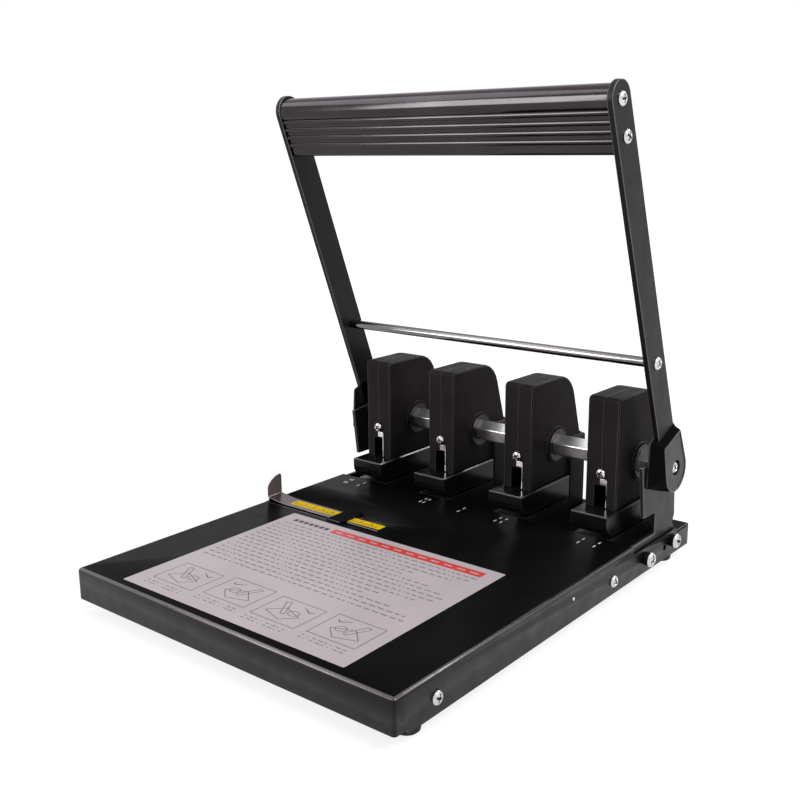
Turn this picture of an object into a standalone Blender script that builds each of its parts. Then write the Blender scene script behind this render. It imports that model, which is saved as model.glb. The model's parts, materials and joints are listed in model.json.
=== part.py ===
"""Four-hole punch: a paper table with four punching heads worked by one long lever.

Metres, +Z up, +X to the right, +Y to the back. The origin is the middle of the base, at
the height of the feet's undersides. Places on the table are given from its front edge, those
of the heads and brackets from the shaft's axis, towards the back, and heights from the
feet's undersides.
"""
import math

import bmesh
import bpy
from mathutils import Matrix, Vector

# Clearances
GAP = 0.0003
OVERRUN = 0.004
ROUND_SIDES = 24
BORE_SIDES = 16
SHADE_ANGLE = math.radians(32.0)
FLAT_ANGLE = math.radians(0.3)
WELD = 0.00001
BITE = 0.00001

# Base of folded sheet
BASE_WIDTH = 0.3162
BASE_DEPTH = 0.4036
SHEET = 0.0022
SKIRT_LIFT = 0.0085
TABLE_RISE = 0.0281
FRONT_SKIRT_SHORT = 0.0031
REAR_BAY = 0.1023
BEND_RADIUS = 0.0026
DECK_RISE = 0.0191
BAY_SKIRT_RISE = 0.0215
BRACKET_BEHIND_TABLE = 0.0022
BAY_END = 0.0235
DECK_UNDERLAP = 0.010
BOTTOM_SHEET = 0.0015
CHIP_HOLE_RADIUS = 0.0045

# Feet
FOOT_RADIUS = 0.0100
FOOT_FLARE = 0.0010
FOOT_INSET = 0.0130
FOOT_FRONT = 0.0270
FOOT_REAR = 0.0266
FOOT_ROUND = 0.0015

# Paper guide in its channel across the table
GUIDE_DEPTH = 0.0220
GUIDE_THICKNESS = 0.0010
GUIDE_MIDDLE = 0.2100
GUIDE_RIGHT_END = -0.0270
CHANNEL_DEPTH = 0.0012
GUIDE_TAB_STAND_OFF = 0.0050
GUIDE_TAB_THICKNESS = 0.0014
GUIDE_TAB_HEIGHT = 0.0165
GUIDE_TAB_DROP = 0.0040
GUIDE_TAB_SHOULDER = 0.0075
GUIDE_TAB_SLOPE = 0.0150
GUIDE_TAB_CORNER = 0.0013
CLAMP_MIDDLE = -0.0710
CLAMP_WIDTH = 0.0160
CLAMP_DEPTH = 0.0300
CLAMP_THICKNESS = 0.0012
CLAMP_FOOT = 0.0032

# Punching heads, left to right
HEAD_PLACE_SHARES = (-1198 / 1581, -452 / 1581, 378 / 1581, 1192 / 1581)
HEAD_WIDTH = 0.0284
HEAD_WALL = 0.0025
HEAD_EDGE_ROUND = 0.0010
HEAD_BROW_RADIUS = 0.0036
HEAD_BROW_STEPS = 3
HEAD_FRONT = -0.0411
HEAD_RISE = 0.0603
HEAD_TOP_BACK = 0.0050
HEAD_CROWN_RADIUS = 0.0260
HEAD_BACK_SLOPE = math.radians(14.0)
HEAD_SLOPE_FOOT = 0.0415
HEAD_STEP_RISE = 0.0013
HEAD_REAR = 0.0472
LEG_ROUND = 0.0012
HEAD_CROWN_STEPS = 5
COLLAR_RADIUS = 0.0166
COLLAR_HEIGHT = 0.0012
SLOT_WIDTH = 0.0124
SLOT_TOP_DROP = 0.0140
HEAD_SCREW_DROP = 0.0036
HEAD_SCREW_BOSS = 0.0045
HEAD_SCREW_LENGTH = 0.0080

# Upper and lower jaw of a head
SHOE_WIDTH = 0.0344
SHOE_FRONT = -0.0600
SHOE_TOP = 0.0580
SHOE_UNDERSIDE = 0.0396
SHOE_BACK = 0.0205
SHOE_NOSE_DEPTH = 0.0120
SHOE_NOSE_RISE = 0.0110
SHOE_NOSE_STEPS = 5
SHOE_ROUND = 0.0008
PAPER_MARGIN = 0.0120
DIE_BEHIND_TABLE = 0.0022
PIN_GUIDE = 0.0060

# Punch rams
RAM_PLACE = -0.0220
RAM_RADIUS = 0.0050
PIN_RADIUS = 0.0030
RAM_FOOT = 0.0450
RAM_SHOULDER = 0.0640
RAM_RISE = 0.0293
RACK_WIDTH = 0.0080
RACK_DROP = 0.0132
RACK_TEETH_BELOW = 2
RACK_TEETH_ABOVE = 5

# Rack and pinion
TOOTH_MODULE = 0.0015
PINION_TEETH = 20
PRESSURE_ANGLE = math.radians(20.0)
BACKLASH = 0.0004
DEDENDUM_SHARE = 1.30
FLANK_STEPS = 1
PINION_FACE = 0.0100
PINION_JOURNAL_RADIUS = 0.0145
PINION_JOURNAL_START = 0.0110
PINION_PROUD = 0.0008
JOURNAL_SIDES = 22

# Drive shaft
SHAFT_FROM_REAR = 0.0486
SHAFT_HEIGHT = 0.0912
SHAFT_FLATS = 0.0180
SHAFT_TURN = math.radians(17.5)
SHAFT_BEYOND_ARM = 0.0004

# Lever
ARM_LEAN = math.radians(21.1)
ARM_WIDTH = 0.0266
ARM_THICKNESS = 0.0046
ARM_REACH = 0.3087
ARM_HUB_RADIUS = 0.0133
GRIP_SCREW_PITCH = 0.0267
CROSS_ROD_REACH = 0.0991
CROSS_ROD_RADIUS = 0.0040
ROUND_STEPS = 12

# Grip extrusion, along and across the arms
GRIP_ROLL_RADIUS = 0.0112
GRIP_ROLL_FORWARD = 0.0012
GRIP_FACE = 0.0112
GRIP_BACK = 0.0085
GRIP_DROP = 0.0368
GRIP_CORNER = 0.0030
RIB_RADIUS = 0.0013
RIB_PITCH = 0.0068
FIRST_RIB_DROP = 0.0058
RIB_COUNT = 4
RIB_STEPS = 4
ROLL_START = math.radians(4.0)
ROLL_END = math.radians(192.0)
GRIP_CORNER_STEPS = 3

# End brackets
BRACKET_THICKNESS = 0.0036
BRACKET_FOOT_BOTTOM = 0.0140
BRACKET_FOOT_TOP = 0.0355
BRACKET_NOTCH_BACK = -0.0135
BRACKET_NOTCH_TOP = 0.0540
BRACKET_FRONT_LOW = -0.0342
BRACKET_FRONT_HIGH = -0.0400
BRACKET_SHOULDER_RISE = 0.0073
BRACKET_REAR = 0.0240
BRACKET_REAR_CHAMFER = 0.0035
BRACKET_CROWN_RADIUS = 0.0200
BRACKET_ROUND = 0.0005
BRACKET_CROWN_TURN = math.radians(150.0)

# Shaft bushes in the brackets
BUSH_RADIUS = 0.0130
BUSH_FLANGE_RADIUS = 0.0155
BUSH_FLANGE = 0.0025

# Bracket screws on their spacers
BRACKET_SCREW_PLACES = (-0.0335, 0.0138)
BRACKET_SCREW_HEIGHT = 0.0228
SPACER_RADIUS = 0.0050
SPACER_LENGTH = 0.0045

# Screws: head radius, head height, shank radius
LARGE_SCREW = (0.0052, 0.0036, 0.0025)
SMALL_SCREW = (0.0042, 0.0026, 0.0016)
GRIP_SCREW = (0.0052, 0.0026, 0.0022)
SCREW_SINK = 0.0100
SCREW_SIDES = 12
SHANK_SIDES = 8
SCREW_NECK_SHARE = 0.8
CROSS_SLOT_WIDTH = 0.0011
CROSS_SLOT_SPAN_SHARE = 0.62
CROSS_SLOT_DEPTH_SHARE = 0.5

# Hub covers: their base against the bracket and their outer face, across and along the arms
COVER_DEPTH = 0.0101
COVER_FLOOR = 0.0012
COVER_RECESS_RADIUS = 0.0064
COVER_POCKET_REACH = 0.0450
COVER_ROUND_STEPS = 7
COVER_TOE_TURN = math.radians(45.0)
COVER_ROUND_CENTRE = (-0.0015, -0.0015)
COVER_BASE_RADIUS = 0.0192
COVER_BASE_TOP = 0.0372
COVER_BASE_REAR = 0.0153
COVER_BASE_TOE_TOP = -0.0218
COVER_BASE_TOE = (-0.0372, 0.0030)
COVER_FACE_RADIUS = 0.0180
COVER_FACE_TOP = 0.0286
COVER_FACE_REAR = 0.0140
COVER_FACE_FRONT_TOP = -0.0156
COVER_FACE_FRONT = (-0.0182, -0.0080)

# Places that follow from the sizes above
FRONT = -BASE_DEPTH / 2
SIDE = BASE_WIDTH / 2
TABLE_TOP = SKIRT_LIFT + TABLE_RISE
DECK_TOP = SKIRT_LIFT + DECK_RISE
TABLE_BACK = -FRONT - REAR_BAY
SHAFT_Y = -FRONT - SHAFT_FROM_REAR
HEAD_PLACES = tuple(share * SIDE for share in HEAD_PLACE_SHARES)
HEAD_TOP = SHAFT_HEIGHT + HEAD_RISE
HEAD_STEP_HEIGHT = SHAFT_HEIGHT + HEAD_STEP_RISE
HEAD_SCREW_HEIGHT = SHAFT_HEIGHT - HEAD_SCREW_DROP
SLOT_TOP = SHAFT_HEIGHT - SLOT_TOP_DROP
RAM_TOP = SHAFT_HEIGHT + RAM_RISE
RACK_FOOT = SHAFT_HEIGHT - RACK_DROP
BRACKET_SHOULDER_HEIGHT = SHAFT_HEIGHT + BRACKET_SHOULDER_RISE
LOWER_GRIP_SCREW = ARM_REACH - GRIP_SCREW_PITCH
GRIP_FOOT = ARM_REACH - GRIP_DROP
FIRST_RIB = ARM_REACH - FIRST_RIB_DROP
PAPER_STOP = RAM_PLACE + PAPER_MARGIN
BRACKET_OUTSIDE = SIDE - SHEET - GAP
BRACKET_INSIDE = BRACKET_OUTSIDE - BRACKET_THICKNESS
ARM_INSIDE = BRACKET_OUTSIDE + GAP
ARM_OUTSIDE = ARM_INSIDE + ARM_THICKNESS
SHAFT_END = ARM_OUTSIDE + SHAFT_BEYOND_ARM
COVER_OUTSIDE = ARM_INSIDE + COVER_DEPTH
PITCH_RADIUS = TOOTH_MODULE * PINION_TEETH / 2
HEAD_HALF = HEAD_WIDTH / 2

PALETTE = {
    "powder_black": ((0.020, 0.019, 0.021, 1.0), 0.38, 0.0),
    "plastic_black": ((0.030, 0.028, 0.031, 1.0), 0.45, 0.0),
    "anodised_black": ((0.035, 0.034, 0.037, 1.0), 0.30, 0.8),
    "blued_steel": ((0.060, 0.058, 0.062, 1.0), 0.40, 0.7),
    "satin_steel": ((0.560, 0.550, 0.540, 1.0), 0.32, 1.0),
    "bright_screw": ((0.780, 0.770, 0.750, 1.0), 0.18, 1.0),
    "chrome": ((0.820, 0.820, 0.830, 1.0), 0.08, 1.0),
    "rubber": ((0.015, 0.015, 0.015, 1.0), 0.80, 0.0),
}

for leftover in list(bpy.data.objects):
    bpy.data.objects.remove(leftover)

PUNCH = bpy.data.collections.new("four_hole_punch")
bpy.context.scene.collection.children.link(PUNCH)


def material(name):
    """The Principled material of that name, made the first time it is asked for."""
    found = bpy.data.materials.get(name)
    if found:
        return found
    colour, roughness, metallic = PALETTE[name]
    made = bpy.data.materials.new(name)
    made.use_nodes = True
    shader = made.node_tree.nodes["Principled BSDF"]
    shader.inputs["Base Color"].default_value = colour
    shader.inputs["Roughness"].default_value = roughness
    shader.inputs["Metallic"].default_value = metallic
    made.diffuse_color = colour
    return made


def evaluated_copy(maker):
    """A plain mesh object with the maker's modifiers and place worked in."""
    bpy.context.view_layer.update()
    graph = bpy.context.evaluated_depsgraph_get()
    mesh = bpy.data.meshes.new_from_object(maker.evaluated_get(graph))
    mesh.transform(maker.matrix_world)
    tidy = bmesh.new()
    tidy.from_mesh(mesh)
    bmesh.ops.remove_doubles(tidy, verts=tidy.verts, dist=WELD)
    tidy.to_mesh(mesh)
    tidy.free()
    plain = bpy.data.objects.new(maker.name + "_solid", mesh)
    bpy.context.scene.collection.objects.link(plain)
    bpy.data.objects.remove(maker)
    return plain


def block(low, high):
    """A box between two corners."""
    low, high = Vector(low), Vector(high)
    bpy.ops.mesh.primitive_cube_add(size=1, location=(low + high) / 2)
    made = bpy.context.object
    made.scale = high - low
    bpy.ops.object.transform_apply(location=True, rotation=False, scale=True)
    return made


def rod(start, end, radius, sides=ROUND_SIDES, end_radius=None):
    """A straight round bar, or a cone, from one point to another."""
    start, end = Vector(start), Vector(end)
    along = end - start
    last = radius if end_radius is None else end_radius
    bpy.ops.mesh.primitive_cone_add(vertices=sides, radius1=radius, radius2=last, depth=along.length)
    made = bpy.context.object
    made.rotation_euler = along.to_track_quat("Z", "Y").to_euler()
    made.location = (start + end) / 2
    bpy.ops.object.transform_apply(location=True, rotation=True, scale=False)
    return made


def plate(outline, start_x, end_x):
    """A flat piece whose outline lies in the YZ plane, from one X to another."""
    drawing = bpy.data.curves.new("outline", "CURVE")
    drawing.dimensions = "2D"
    drawing.fill_mode = "BOTH"
    drawing.extrude = abs(end_x - start_x) / 2
    spline = drawing.splines.new("POLY")
    spline.points.add(len(outline) - 1)
    for point, (y, z) in zip(spline.points, outline):
        point.co = (y, z, 0, 1)
    spline.use_cyclic_u = True
    maker = bpy.data.objects.new("plate", drawing)
    bpy.context.scene.collection.objects.link(maker)
    across = (start_x + end_x) / 2
    maker.matrix_world = Matrix(((0, 0, 1, across), (1, 0, 0, 0), (0, 1, 0, 0), (0, 0, 0, 1)))
    return evaluated_copy(maker)


def combine(base, operation, tools):
    """Joins solids to the base, or cuts them from it."""
    for tool in tools:
        modifier = base.modifiers.new(operation.lower(), "BOOLEAN")
        modifier.operation = operation
        modifier.object = tool
    result = evaluated_copy(base)
    for tool in tools:
        bpy.data.objects.remove(tool)
    return result


def join(base, *tools):
    """The base with the tools joined to it."""
    return combine(base, "UNION", tools)


def cut(base, *tools):
    """The base with the tools cut from it."""
    return combine(base, "DIFFERENCE", tools)


def soften(thing, width, segments=2, angle=35.0, above=-BASE_DEPTH):
    """Rounds the outward edges that are sharper than the angle and reach above a height."""
    form = bmesh.new()
    form.from_mesh(thing.data)
    bmesh.ops.dissolve_limit(form, angle_limit=FLAT_ANGLE, verts=form.verts, edges=form.edges)
    weight = form.edges.layers.float.new("bevel_weight_edge")
    for edge in form.edges:
        sharp = edge.is_convex and edge.calc_face_angle() > math.radians(angle)
        edge[weight] = float(sharp and max(v.co.z for v in edge.verts) > above)
    form.to_mesh(thing.data)
    form.free()
    bevel = thing.modifiers.new("rounded edges", "BEVEL")
    bevel.width = width
    bevel.segments = segments
    bevel.limit_method = "WEIGHT"
    return evaluated_copy(thing)


def arc(centre, radius, start, end, steps):
    """Points on an arc in the YZ plane, angles in radians from +Y towards +Z."""
    angles = [start + (end - start) * i / steps for i in range(steps + 1)]
    return [(centre[0] + radius * math.cos(a), centre[1] + radius * math.sin(a)) for a in angles]


def inset(outline, distance):
    """The outline moved inwards by one distance on every side; its points run anticlockwise."""
    moved = []
    for before, here, after in zip(outline[-1:] + outline[:-1], outline, outline[1:] + outline[:1]):
        a = (Vector(here) - Vector(before)).normalized()
        b = (Vector(after) - Vector(here)).normalized()
        inward_a, inward_b = Vector((-a.y, a.x)), Vector((-b.y, b.x))
        middle = inward_a + inward_b
        moved.append(tuple(Vector(here) + middle * distance / (1 + inward_a.dot(inward_b))))
    return moved


def hexagon(flats, turn):
    """A hexagon's corners from its size across the flats."""
    radius = flats / math.sqrt(3)
    return arc((0, 0), radius, turn, turn + math.pi * 5 / 3, 5)


def pan_screw(kind, sink):
    """A cross-head screw along +X: its head rests at x = 0 and its shank runs to -sink."""
    head, height, shank = kind
    neck = head * SCREW_NECK_SHARE
    made = rod((0, 0, 0), (height, 0, 0), head, SCREW_SIDES, neck)
    made = join(made, rod((-sink, 0, 0), (height / 2, 0, 0), shank, SHANK_SIDES))
    span = head * CROSS_SLOT_SPAN_SHARE
    width = CROSS_SLOT_WIDTH / 2
    floor = height * (1 - CROSS_SLOT_DEPTH_SHARE)
    upright = block((floor, -width, -span), (height + OVERRUN, width, span))
    level = block((floor, -span, -width), (height + OVERRUN, span, width))
    return cut(made, upright, level)


def store(solid, pivot=(0.0, 0.0, 0.0)):
    """Keeps a solid's mesh, measured from the pivot, and drops its object."""
    mesh = solid.data
    mesh.transform(Matrix.Translation(-Vector(pivot)))
    bpy.data.objects.remove(solid)
    mesh.shade_smooth()
    mesh.set_sharp_from_angle(angle=SHADE_ANGLE)
    return mesh


def mirrored(mesh):
    """The mesh's mirror image in the plane x = 0."""
    other = mesh.copy()
    other.transform(Matrix.Diagonal((-1, 1, 1, 1)))
    other.flip_normals()
    return other


def place(name, mesh, finish, location=(0.0, 0.0, 0.0), parent=None):
    """Adds a named piece of the punch."""
    piece = bpy.data.objects.new(name, mesh)
    PUNCH.objects.link(piece)
    piece.location = location
    piece.parent = parent
    if not mesh.materials:
        mesh.materials.append(material(finish))
    mesh.name = name
    return piece


def make_table():
    """The paper table: one folded sheet with a front skirt and two long side skirts."""
    outer = block((-SIDE, FRONT, 0), (SIDE, -FRONT + SKIRT_LIFT, TABLE_TOP))
    outer = soften(outer, BEND_RADIUS, 3, 60.0)
    hollow = block((-SIDE + SHEET, FRONT + SHEET, -OVERRUN),
                   (SIDE - SHEET, BASE_DEPTH, TABLE_TOP - SHEET))
    behind = block((-BASE_WIDTH, -FRONT, -OVERRUN), (BASE_WIDTH, BASE_DEPTH, SHAFT_HEIGHT))
    below = block((-BASE_WIDTH, FRONT - OVERRUN, -OVERRUN), (BASE_WIDTH, BASE_DEPTH, SKIRT_LIFT))
    over_deck = block((-BASE_WIDTH, TABLE_BACK, SKIRT_LIFT + BAY_SKIRT_RISE),
                      (BASE_WIDTH, BASE_DEPTH, SHAFT_HEIGHT))
    under_deck = block((-BASE_WIDTH, SHAFT_Y + BAY_END, DECK_TOP - SHEET - GAP),
                       (BASE_WIDTH, BASE_DEPTH, SHAFT_HEIGHT))
    front_trim = block((-BASE_WIDTH, FRONT - OVERRUN, 0),
                       (BASE_WIDTH, FRONT + SHEET, SKIRT_LIFT + FRONT_SKIRT_SHORT))
    table = cut(outer, hollow, behind, below, over_deck, under_deck, front_trim)
    rear_fold = block((-SIDE + SHEET / 2, TABLE_BACK - SHEET, DECK_TOP + GAP),
                      (SIDE - SHEET / 2, TABLE_BACK, TABLE_TOP - SHEET / 2))
    table = join(table, rear_fold)
    half_guide = GUIDE_DEPTH / 2 + GAP
    middle = FRONT + GUIDE_MIDDLE
    channel = block((-SIDE - OVERRUN, middle - half_guide, TABLE_TOP - CHANNEL_DEPTH),
                    (GUIDE_RIGHT_END + GAP, middle + half_guide, TABLE_TOP + OVERRUN))
    tools = [channel]
    for side in (-1, 1):
        for y in BRACKET_SCREW_PLACES:
            inner = (side * (SIDE - SHEET - OVERRUN), SHAFT_Y + y, BRACKET_SCREW_HEIGHT)
            outer = (side * (SIDE + OVERRUN), SHAFT_Y + y, BRACKET_SCREW_HEIGHT)
            tools.append(rod(inner, outer, LARGE_SCREW[2] + GAP, SCREW_SIDES))
    table = cut(table, *tools)
    place("paper_table", store(table), "powder_black")


def make_deck():
    """The rear deck, one step lower, with its rear skirt and the holes for the chips."""
    inner = BRACKET_INSIDE - GAP
    start = TABLE_BACK - DECK_UNDERLAP
    bay_end = SHAFT_Y + BAY_END + GAP
    deck = block((-inner, start, DECK_TOP - SHEET), (inner, -FRONT, DECK_TOP))
    tail = block((-SIDE, bay_end, DECK_TOP - SHEET), (SIDE, -FRONT, DECK_TOP))
    skirt_side = SIDE - SHEET - GAP
    skirt = block((-skirt_side, -FRONT - SHEET, SKIRT_LIFT), (skirt_side, -FRONT, DECK_TOP - SHEET / 2))
    deck = join(deck, tail, skirt)
    tools = []
    y = SHAFT_Y + RAM_PLACE
    low, high = DECK_TOP - SHEET - OVERRUN, DECK_TOP + OVERRUN
    for x in HEAD_PLACES:
        tools.append(rod((x, y, low), (x, y, high), CHIP_HOLE_RADIUS, BORE_SIDES))
    deck = cut(deck, *tools)
    place("rear_deck", store(deck), "powder_black")


def make_bottom():
    """The bottom plate, which closes the base and carries the feet."""
    low = SKIRT_LIFT + FRONT_SKIRT_SHORT + GAP
    inner = SIDE - SHEET - GAP
    corner = (inner, -FRONT - SHEET - GAP, low + BOTTOM_SHEET)
    bottom = block((-corner[0], -corner[1], low), corner)
    place("bottom_plate", store(bottom), "powder_black")
    top = low - GAP
    foot = rod((0, 0, 0), (0, 0, top), FOOT_RADIUS - FOOT_FLARE, ROUND_SIDES, FOOT_RADIUS)
    foot_mesh = store(soften(foot, FOOT_ROUND, 1))
    for depth_name, y in (("front", FRONT + FOOT_FRONT), ("rear", -FRONT - FOOT_REAR)):
        for side_name, side in (("left", -1), ("right", 1)):
            x = side * (SIDE - FOOT_INSET)
            place(f"foot_{depth_name}_{side_name}", foot_mesh, "rubber", (x, y, 0))


def make_guide():
    """The side paper guide, a steel strip with an upright end tab, and the clamp over it."""
    floor = TABLE_TOP - CHANNEL_DEPTH + GAP
    top = floor + GUIDE_THICKNESS
    half = GUIDE_DEPTH / 2
    middle = FRONT + GUIDE_MIDDLE
    tab_outside = -SIDE - GUIDE_TAB_STAND_OFF
    strip = block((tab_outside, middle - half, floor), (GUIDE_RIGHT_END - GAP, middle + half, top))
    foot = floor - GUIDE_TAB_DROP
    shoulder = top + GUIDE_TAB_SHOULDER
    peak = top + GUIDE_TAB_HEIGHT
    fin = [(middle - half, foot), (middle + half, foot), (middle + half, peak - GUIDE_TAB_CORNER),
           (middle + half - GUIDE_TAB_CORNER, peak), (middle - half + GUIDE_TAB_SLOPE, peak),
           (middle - half, shoulder)]
    tab = plate(fin, tab_outside - GUIDE_TAB_THICKNESS, tab_outside + BITE)
    pivot = (tab_outside, middle, floor)
    place("guide_strip", store(join(strip, tab), pivot), "satin_steel", pivot)
    low = top + GAP
    clamp_half = CLAMP_DEPTH / 2
    left, right = CLAMP_MIDDLE - CLAMP_WIDTH / 2, CLAMP_MIDDLE + CLAMP_WIDTH / 2
    bridge = block((left, middle - clamp_half, low), (right, middle + clamp_half, low + CLAMP_THICKNESS))
    feet = []
    for side in (-1, 1):
        near, far = sorted((side * clamp_half, side * (clamp_half - CLAMP_FOOT)))
        feet.append(block((left, middle + near, TABLE_TOP + GAP / 2),
                          (right, middle + far, low + CLAMP_THICKNESS / 2)))
    place("guide_clamp", store(join(bridge, *feet)), "plastic_black")


def head_outline():
    """The side view of a head's housing, anticlockwise seen from +X."""
    shoe = SHOE_TOP + GAP
    leg = DECK_TOP + GAP
    leg_front = SHAFT_Y + SHOE_BACK + GAP
    crown_turn = HEAD_BACK_SLOPE
    crown = (SHAFT_Y + HEAD_TOP_BACK, HEAD_TOP - HEAD_CROWN_RADIUS)
    points = [(SHAFT_Y + HEAD_FRONT, shoe), (leg_front, shoe), (leg_front, leg), (SHAFT_Y + HEAD_REAR, leg)]
    points += [(SHAFT_Y + HEAD_REAR, HEAD_STEP_HEIGHT),
               (SHAFT_Y + HEAD_SLOPE_FOOT, HEAD_STEP_HEIGHT + HEAD_WALL)]
    points += arc(crown, HEAD_CROWN_RADIUS, crown_turn, math.pi / 2, HEAD_CROWN_STEPS)
    brow = (SHAFT_Y + HEAD_FRONT + HEAD_BROW_RADIUS, HEAD_TOP - HEAD_BROW_RADIUS)
    points += arc(brow, HEAD_BROW_RADIUS, math.pi / 2, math.pi, HEAD_BROW_STEPS)
    return points


def make_housings():
    """Two half shells for each head, parted down the middle of its front."""
    outline = head_outline()
    body = soften(plate(outline, -HEAD_HALF, HEAD_HALF), HEAD_EDGE_ROUND, 1, 55.0, outline[0][1] + GAP)
    reach = HEAD_HALF + COLLAR_HEIGHT
    collar = rod((-reach, SHAFT_Y, SHAFT_HEIGHT), (reach, SHAFT_Y, SHAFT_HEIGHT), COLLAR_RADIUS,
                 JOURNAL_SIDES)
    leg_half = SHOE_WIDTH / 2
    leg_foot = outline[2][1]
    leg = block((-leg_half, outline[1][0], leg_foot), (leg_half, SHAFT_Y + HEAD_REAR, HEAD_STEP_HEIGHT))
    body = join(body, collar, soften(leg, LEG_ROUND, 1, 60.0, leg_foot + GAP))
    inner = inset(outline, HEAD_WALL)
    shoe_front, shoe_back, leg_front, leg_back = inner[0], inner[1], inner[2], inner[3]
    below = SKIRT_LIFT
    inner[:4] = [(shoe_front[0], below), (leg_front[0] - HEAD_WALL * 2, below),
                 (leg_front[0] - HEAD_WALL * 2, shoe_back[1]), (leg_front[0], shoe_back[1]),
                 (leg_front[0], below), (leg_back[0], below)]
    pocket = HEAD_HALF - HEAD_WALL
    body = cut(body, plate(inner, -pocket, pocket))
    screw_y = SHAFT_Y + HEAD_FRONT
    boss_start = (0, screw_y + HEAD_WALL / 2, HEAD_SCREW_HEIGHT)
    boss_end = (0, screw_y + HEAD_SCREW_LENGTH, HEAD_SCREW_HEIGHT)
    body = join(body, rod(boss_start, boss_end, HEAD_SCREW_BOSS, BORE_SIDES))
    bore = PINION_JOURNAL_RADIUS + GAP
    shaft_hole = rod((-SIDE, SHAFT_Y, SHAFT_HEIGHT), (SIDE, SHAFT_Y, SHAFT_HEIGHT), bore, JOURNAL_SIDES)
    slot = block((-SLOT_WIDTH / 2, screw_y - OVERRUN, SKIRT_LIFT),
                 (SLOT_WIDTH / 2, screw_y + HEAD_WALL + OVERRUN / 2, SLOT_TOP))
    screw_hole = rod((0, screw_y - OVERRUN, HEAD_SCREW_HEIGHT),
                     (0, boss_end[1] + OVERRUN, HEAD_SCREW_HEIGHT), SMALL_SCREW[2] + GAP, SHANK_SIDES)
    body = cut(body, shaft_hole, slot, screw_hole)
    left_side = block((-SIDE, FRONT, -OVERRUN), (GAP / 2, -FRONT + OVERRUN, HEAD_TOP + OVERRUN))
    right_mesh = store(cut(body, left_side))
    left_mesh = mirrored(right_mesh)
    for number, x in enumerate(HEAD_PLACES, 1):
        place(f"head_{number}_shell_left", left_mesh, "plastic_black", (x, 0, 0))
        place(f"head_{number}_shell_right", right_mesh, "plastic_black", (x, 0, 0))


def make_jaws():
    """The upper jaw with its bull nose and paper stop, and the die block below it."""
    half = SHOE_WIDTH / 2
    front, back, stop = SHAFT_Y + SHOE_FRONT, SHAFT_Y + SHOE_BACK, SHAFT_Y + PAPER_STOP
    die_top = TABLE_TOP - GAP
    nose = []
    for i in range(SHOE_NOSE_STEPS + 1):
        turn = math.pi / 2 * i / SHOE_NOSE_STEPS
        nose.append((front + SHOE_NOSE_DEPTH * (1 - math.cos(turn)),
                     SHOE_UNDERSIDE + SHOE_NOSE_RISE * (1 - math.sin(turn))))
    side_view = nose + [(stop, SHOE_UNDERSIDE), (stop, die_top + GAP), (back, die_top + GAP),
                        (back, SHOE_TOP), (front, SHOE_TOP)]
    shoe = soften(plate(side_view, -half, half), SHOE_ROUND, 1, 60.0)
    y = SHAFT_Y + RAM_PLACE
    wide_bore = rod((0, y, SHOE_UNDERSIDE + PIN_GUIDE), (0, y, SHOE_TOP + OVERRUN), RAM_RADIUS + GAP,
                    BORE_SIDES)
    fine_bore = rod((0, y, DECK_TOP - OVERRUN), (0, y, SHOE_TOP), PIN_RADIUS + GAP, BORE_SIDES)
    shoe_mesh = store(cut(shoe, wide_bore, fine_bore))
    die = block((-half, TABLE_BACK + DIE_BEHIND_TABLE, DECK_TOP + GAP), (half, back, die_top))
    die_bore = rod((0, y, DECK_TOP - OVERRUN), (0, y, die_top + OVERRUN), PIN_RADIUS + GAP, BORE_SIDES)
    die_mesh = store(cut(die, die_bore))
    for number, x in enumerate(HEAD_PLACES, 1):
        place(f"head_{number}_shoe", shoe_mesh, "powder_black", (x, 0, 0))
        place(f"head_{number}_die_block", die_mesh, "blued_steel", (x, 0, 0))


def rack_outline():
    """The rack bar's side view, its teeth on the back, a gap between two facing the shaft."""
    pitch = math.pi * TOOTH_MODULE
    slope = math.tan(PRESSURE_ANGLE)
    line = SHAFT_Y - PITCH_RADIUS
    tip, root = line + TOOTH_MODULE, line - TOOTH_MODULE * DEDENDUM_SHARE
    half_tooth = pitch / 4 - BACKLASH / 2
    teeth = []
    for i in range(-RACK_TEETH_BELOW, RACK_TEETH_ABOVE):
        middle = SHAFT_HEIGHT + (i + 0.5) * pitch
        at_root = half_tooth + TOOTH_MODULE * DEDENDUM_SHARE * slope
        at_tip = half_tooth - TOOTH_MODULE * slope
        teeth += [(root, middle - at_root), (tip, middle - at_tip)]
        teeth += [(tip, middle + at_tip), (root, middle + at_root)]
    face = SHAFT_Y + RAM_PLACE
    return [(face, RACK_FOOT), (root, RACK_FOOT)] + teeth + [(root, RAM_TOP), (face, RAM_TOP)]


def make_rams():
    """The punch pin, its ram and the rack behind it, one piece for each head."""
    y = SHAFT_Y + RAM_PLACE
    rack = plate(rack_outline(), -RACK_WIDTH / 2, RACK_WIDTH / 2)
    ram = rod((0, y, RAM_SHOULDER), (0, y, RAM_TOP), RAM_RADIUS, BORE_SIDES)
    pin = rod((0, y, RAM_FOOT), (0, y, RAM_SHOULDER + OVERRUN), PIN_RADIUS, BORE_SIDES)
    pivot = (0, y, RAM_FOOT)
    mesh = store(join(rack, ram, pin), pivot)
    for number, x in enumerate(HEAD_PLACES, 1):
        place(f"head_{number}_punch_ram", mesh, "satin_steel", (x, y, RAM_FOOT))


def involute(angle):
    """The involute function: the tangent of an angle less the angle."""
    return math.tan(angle) - angle


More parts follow.
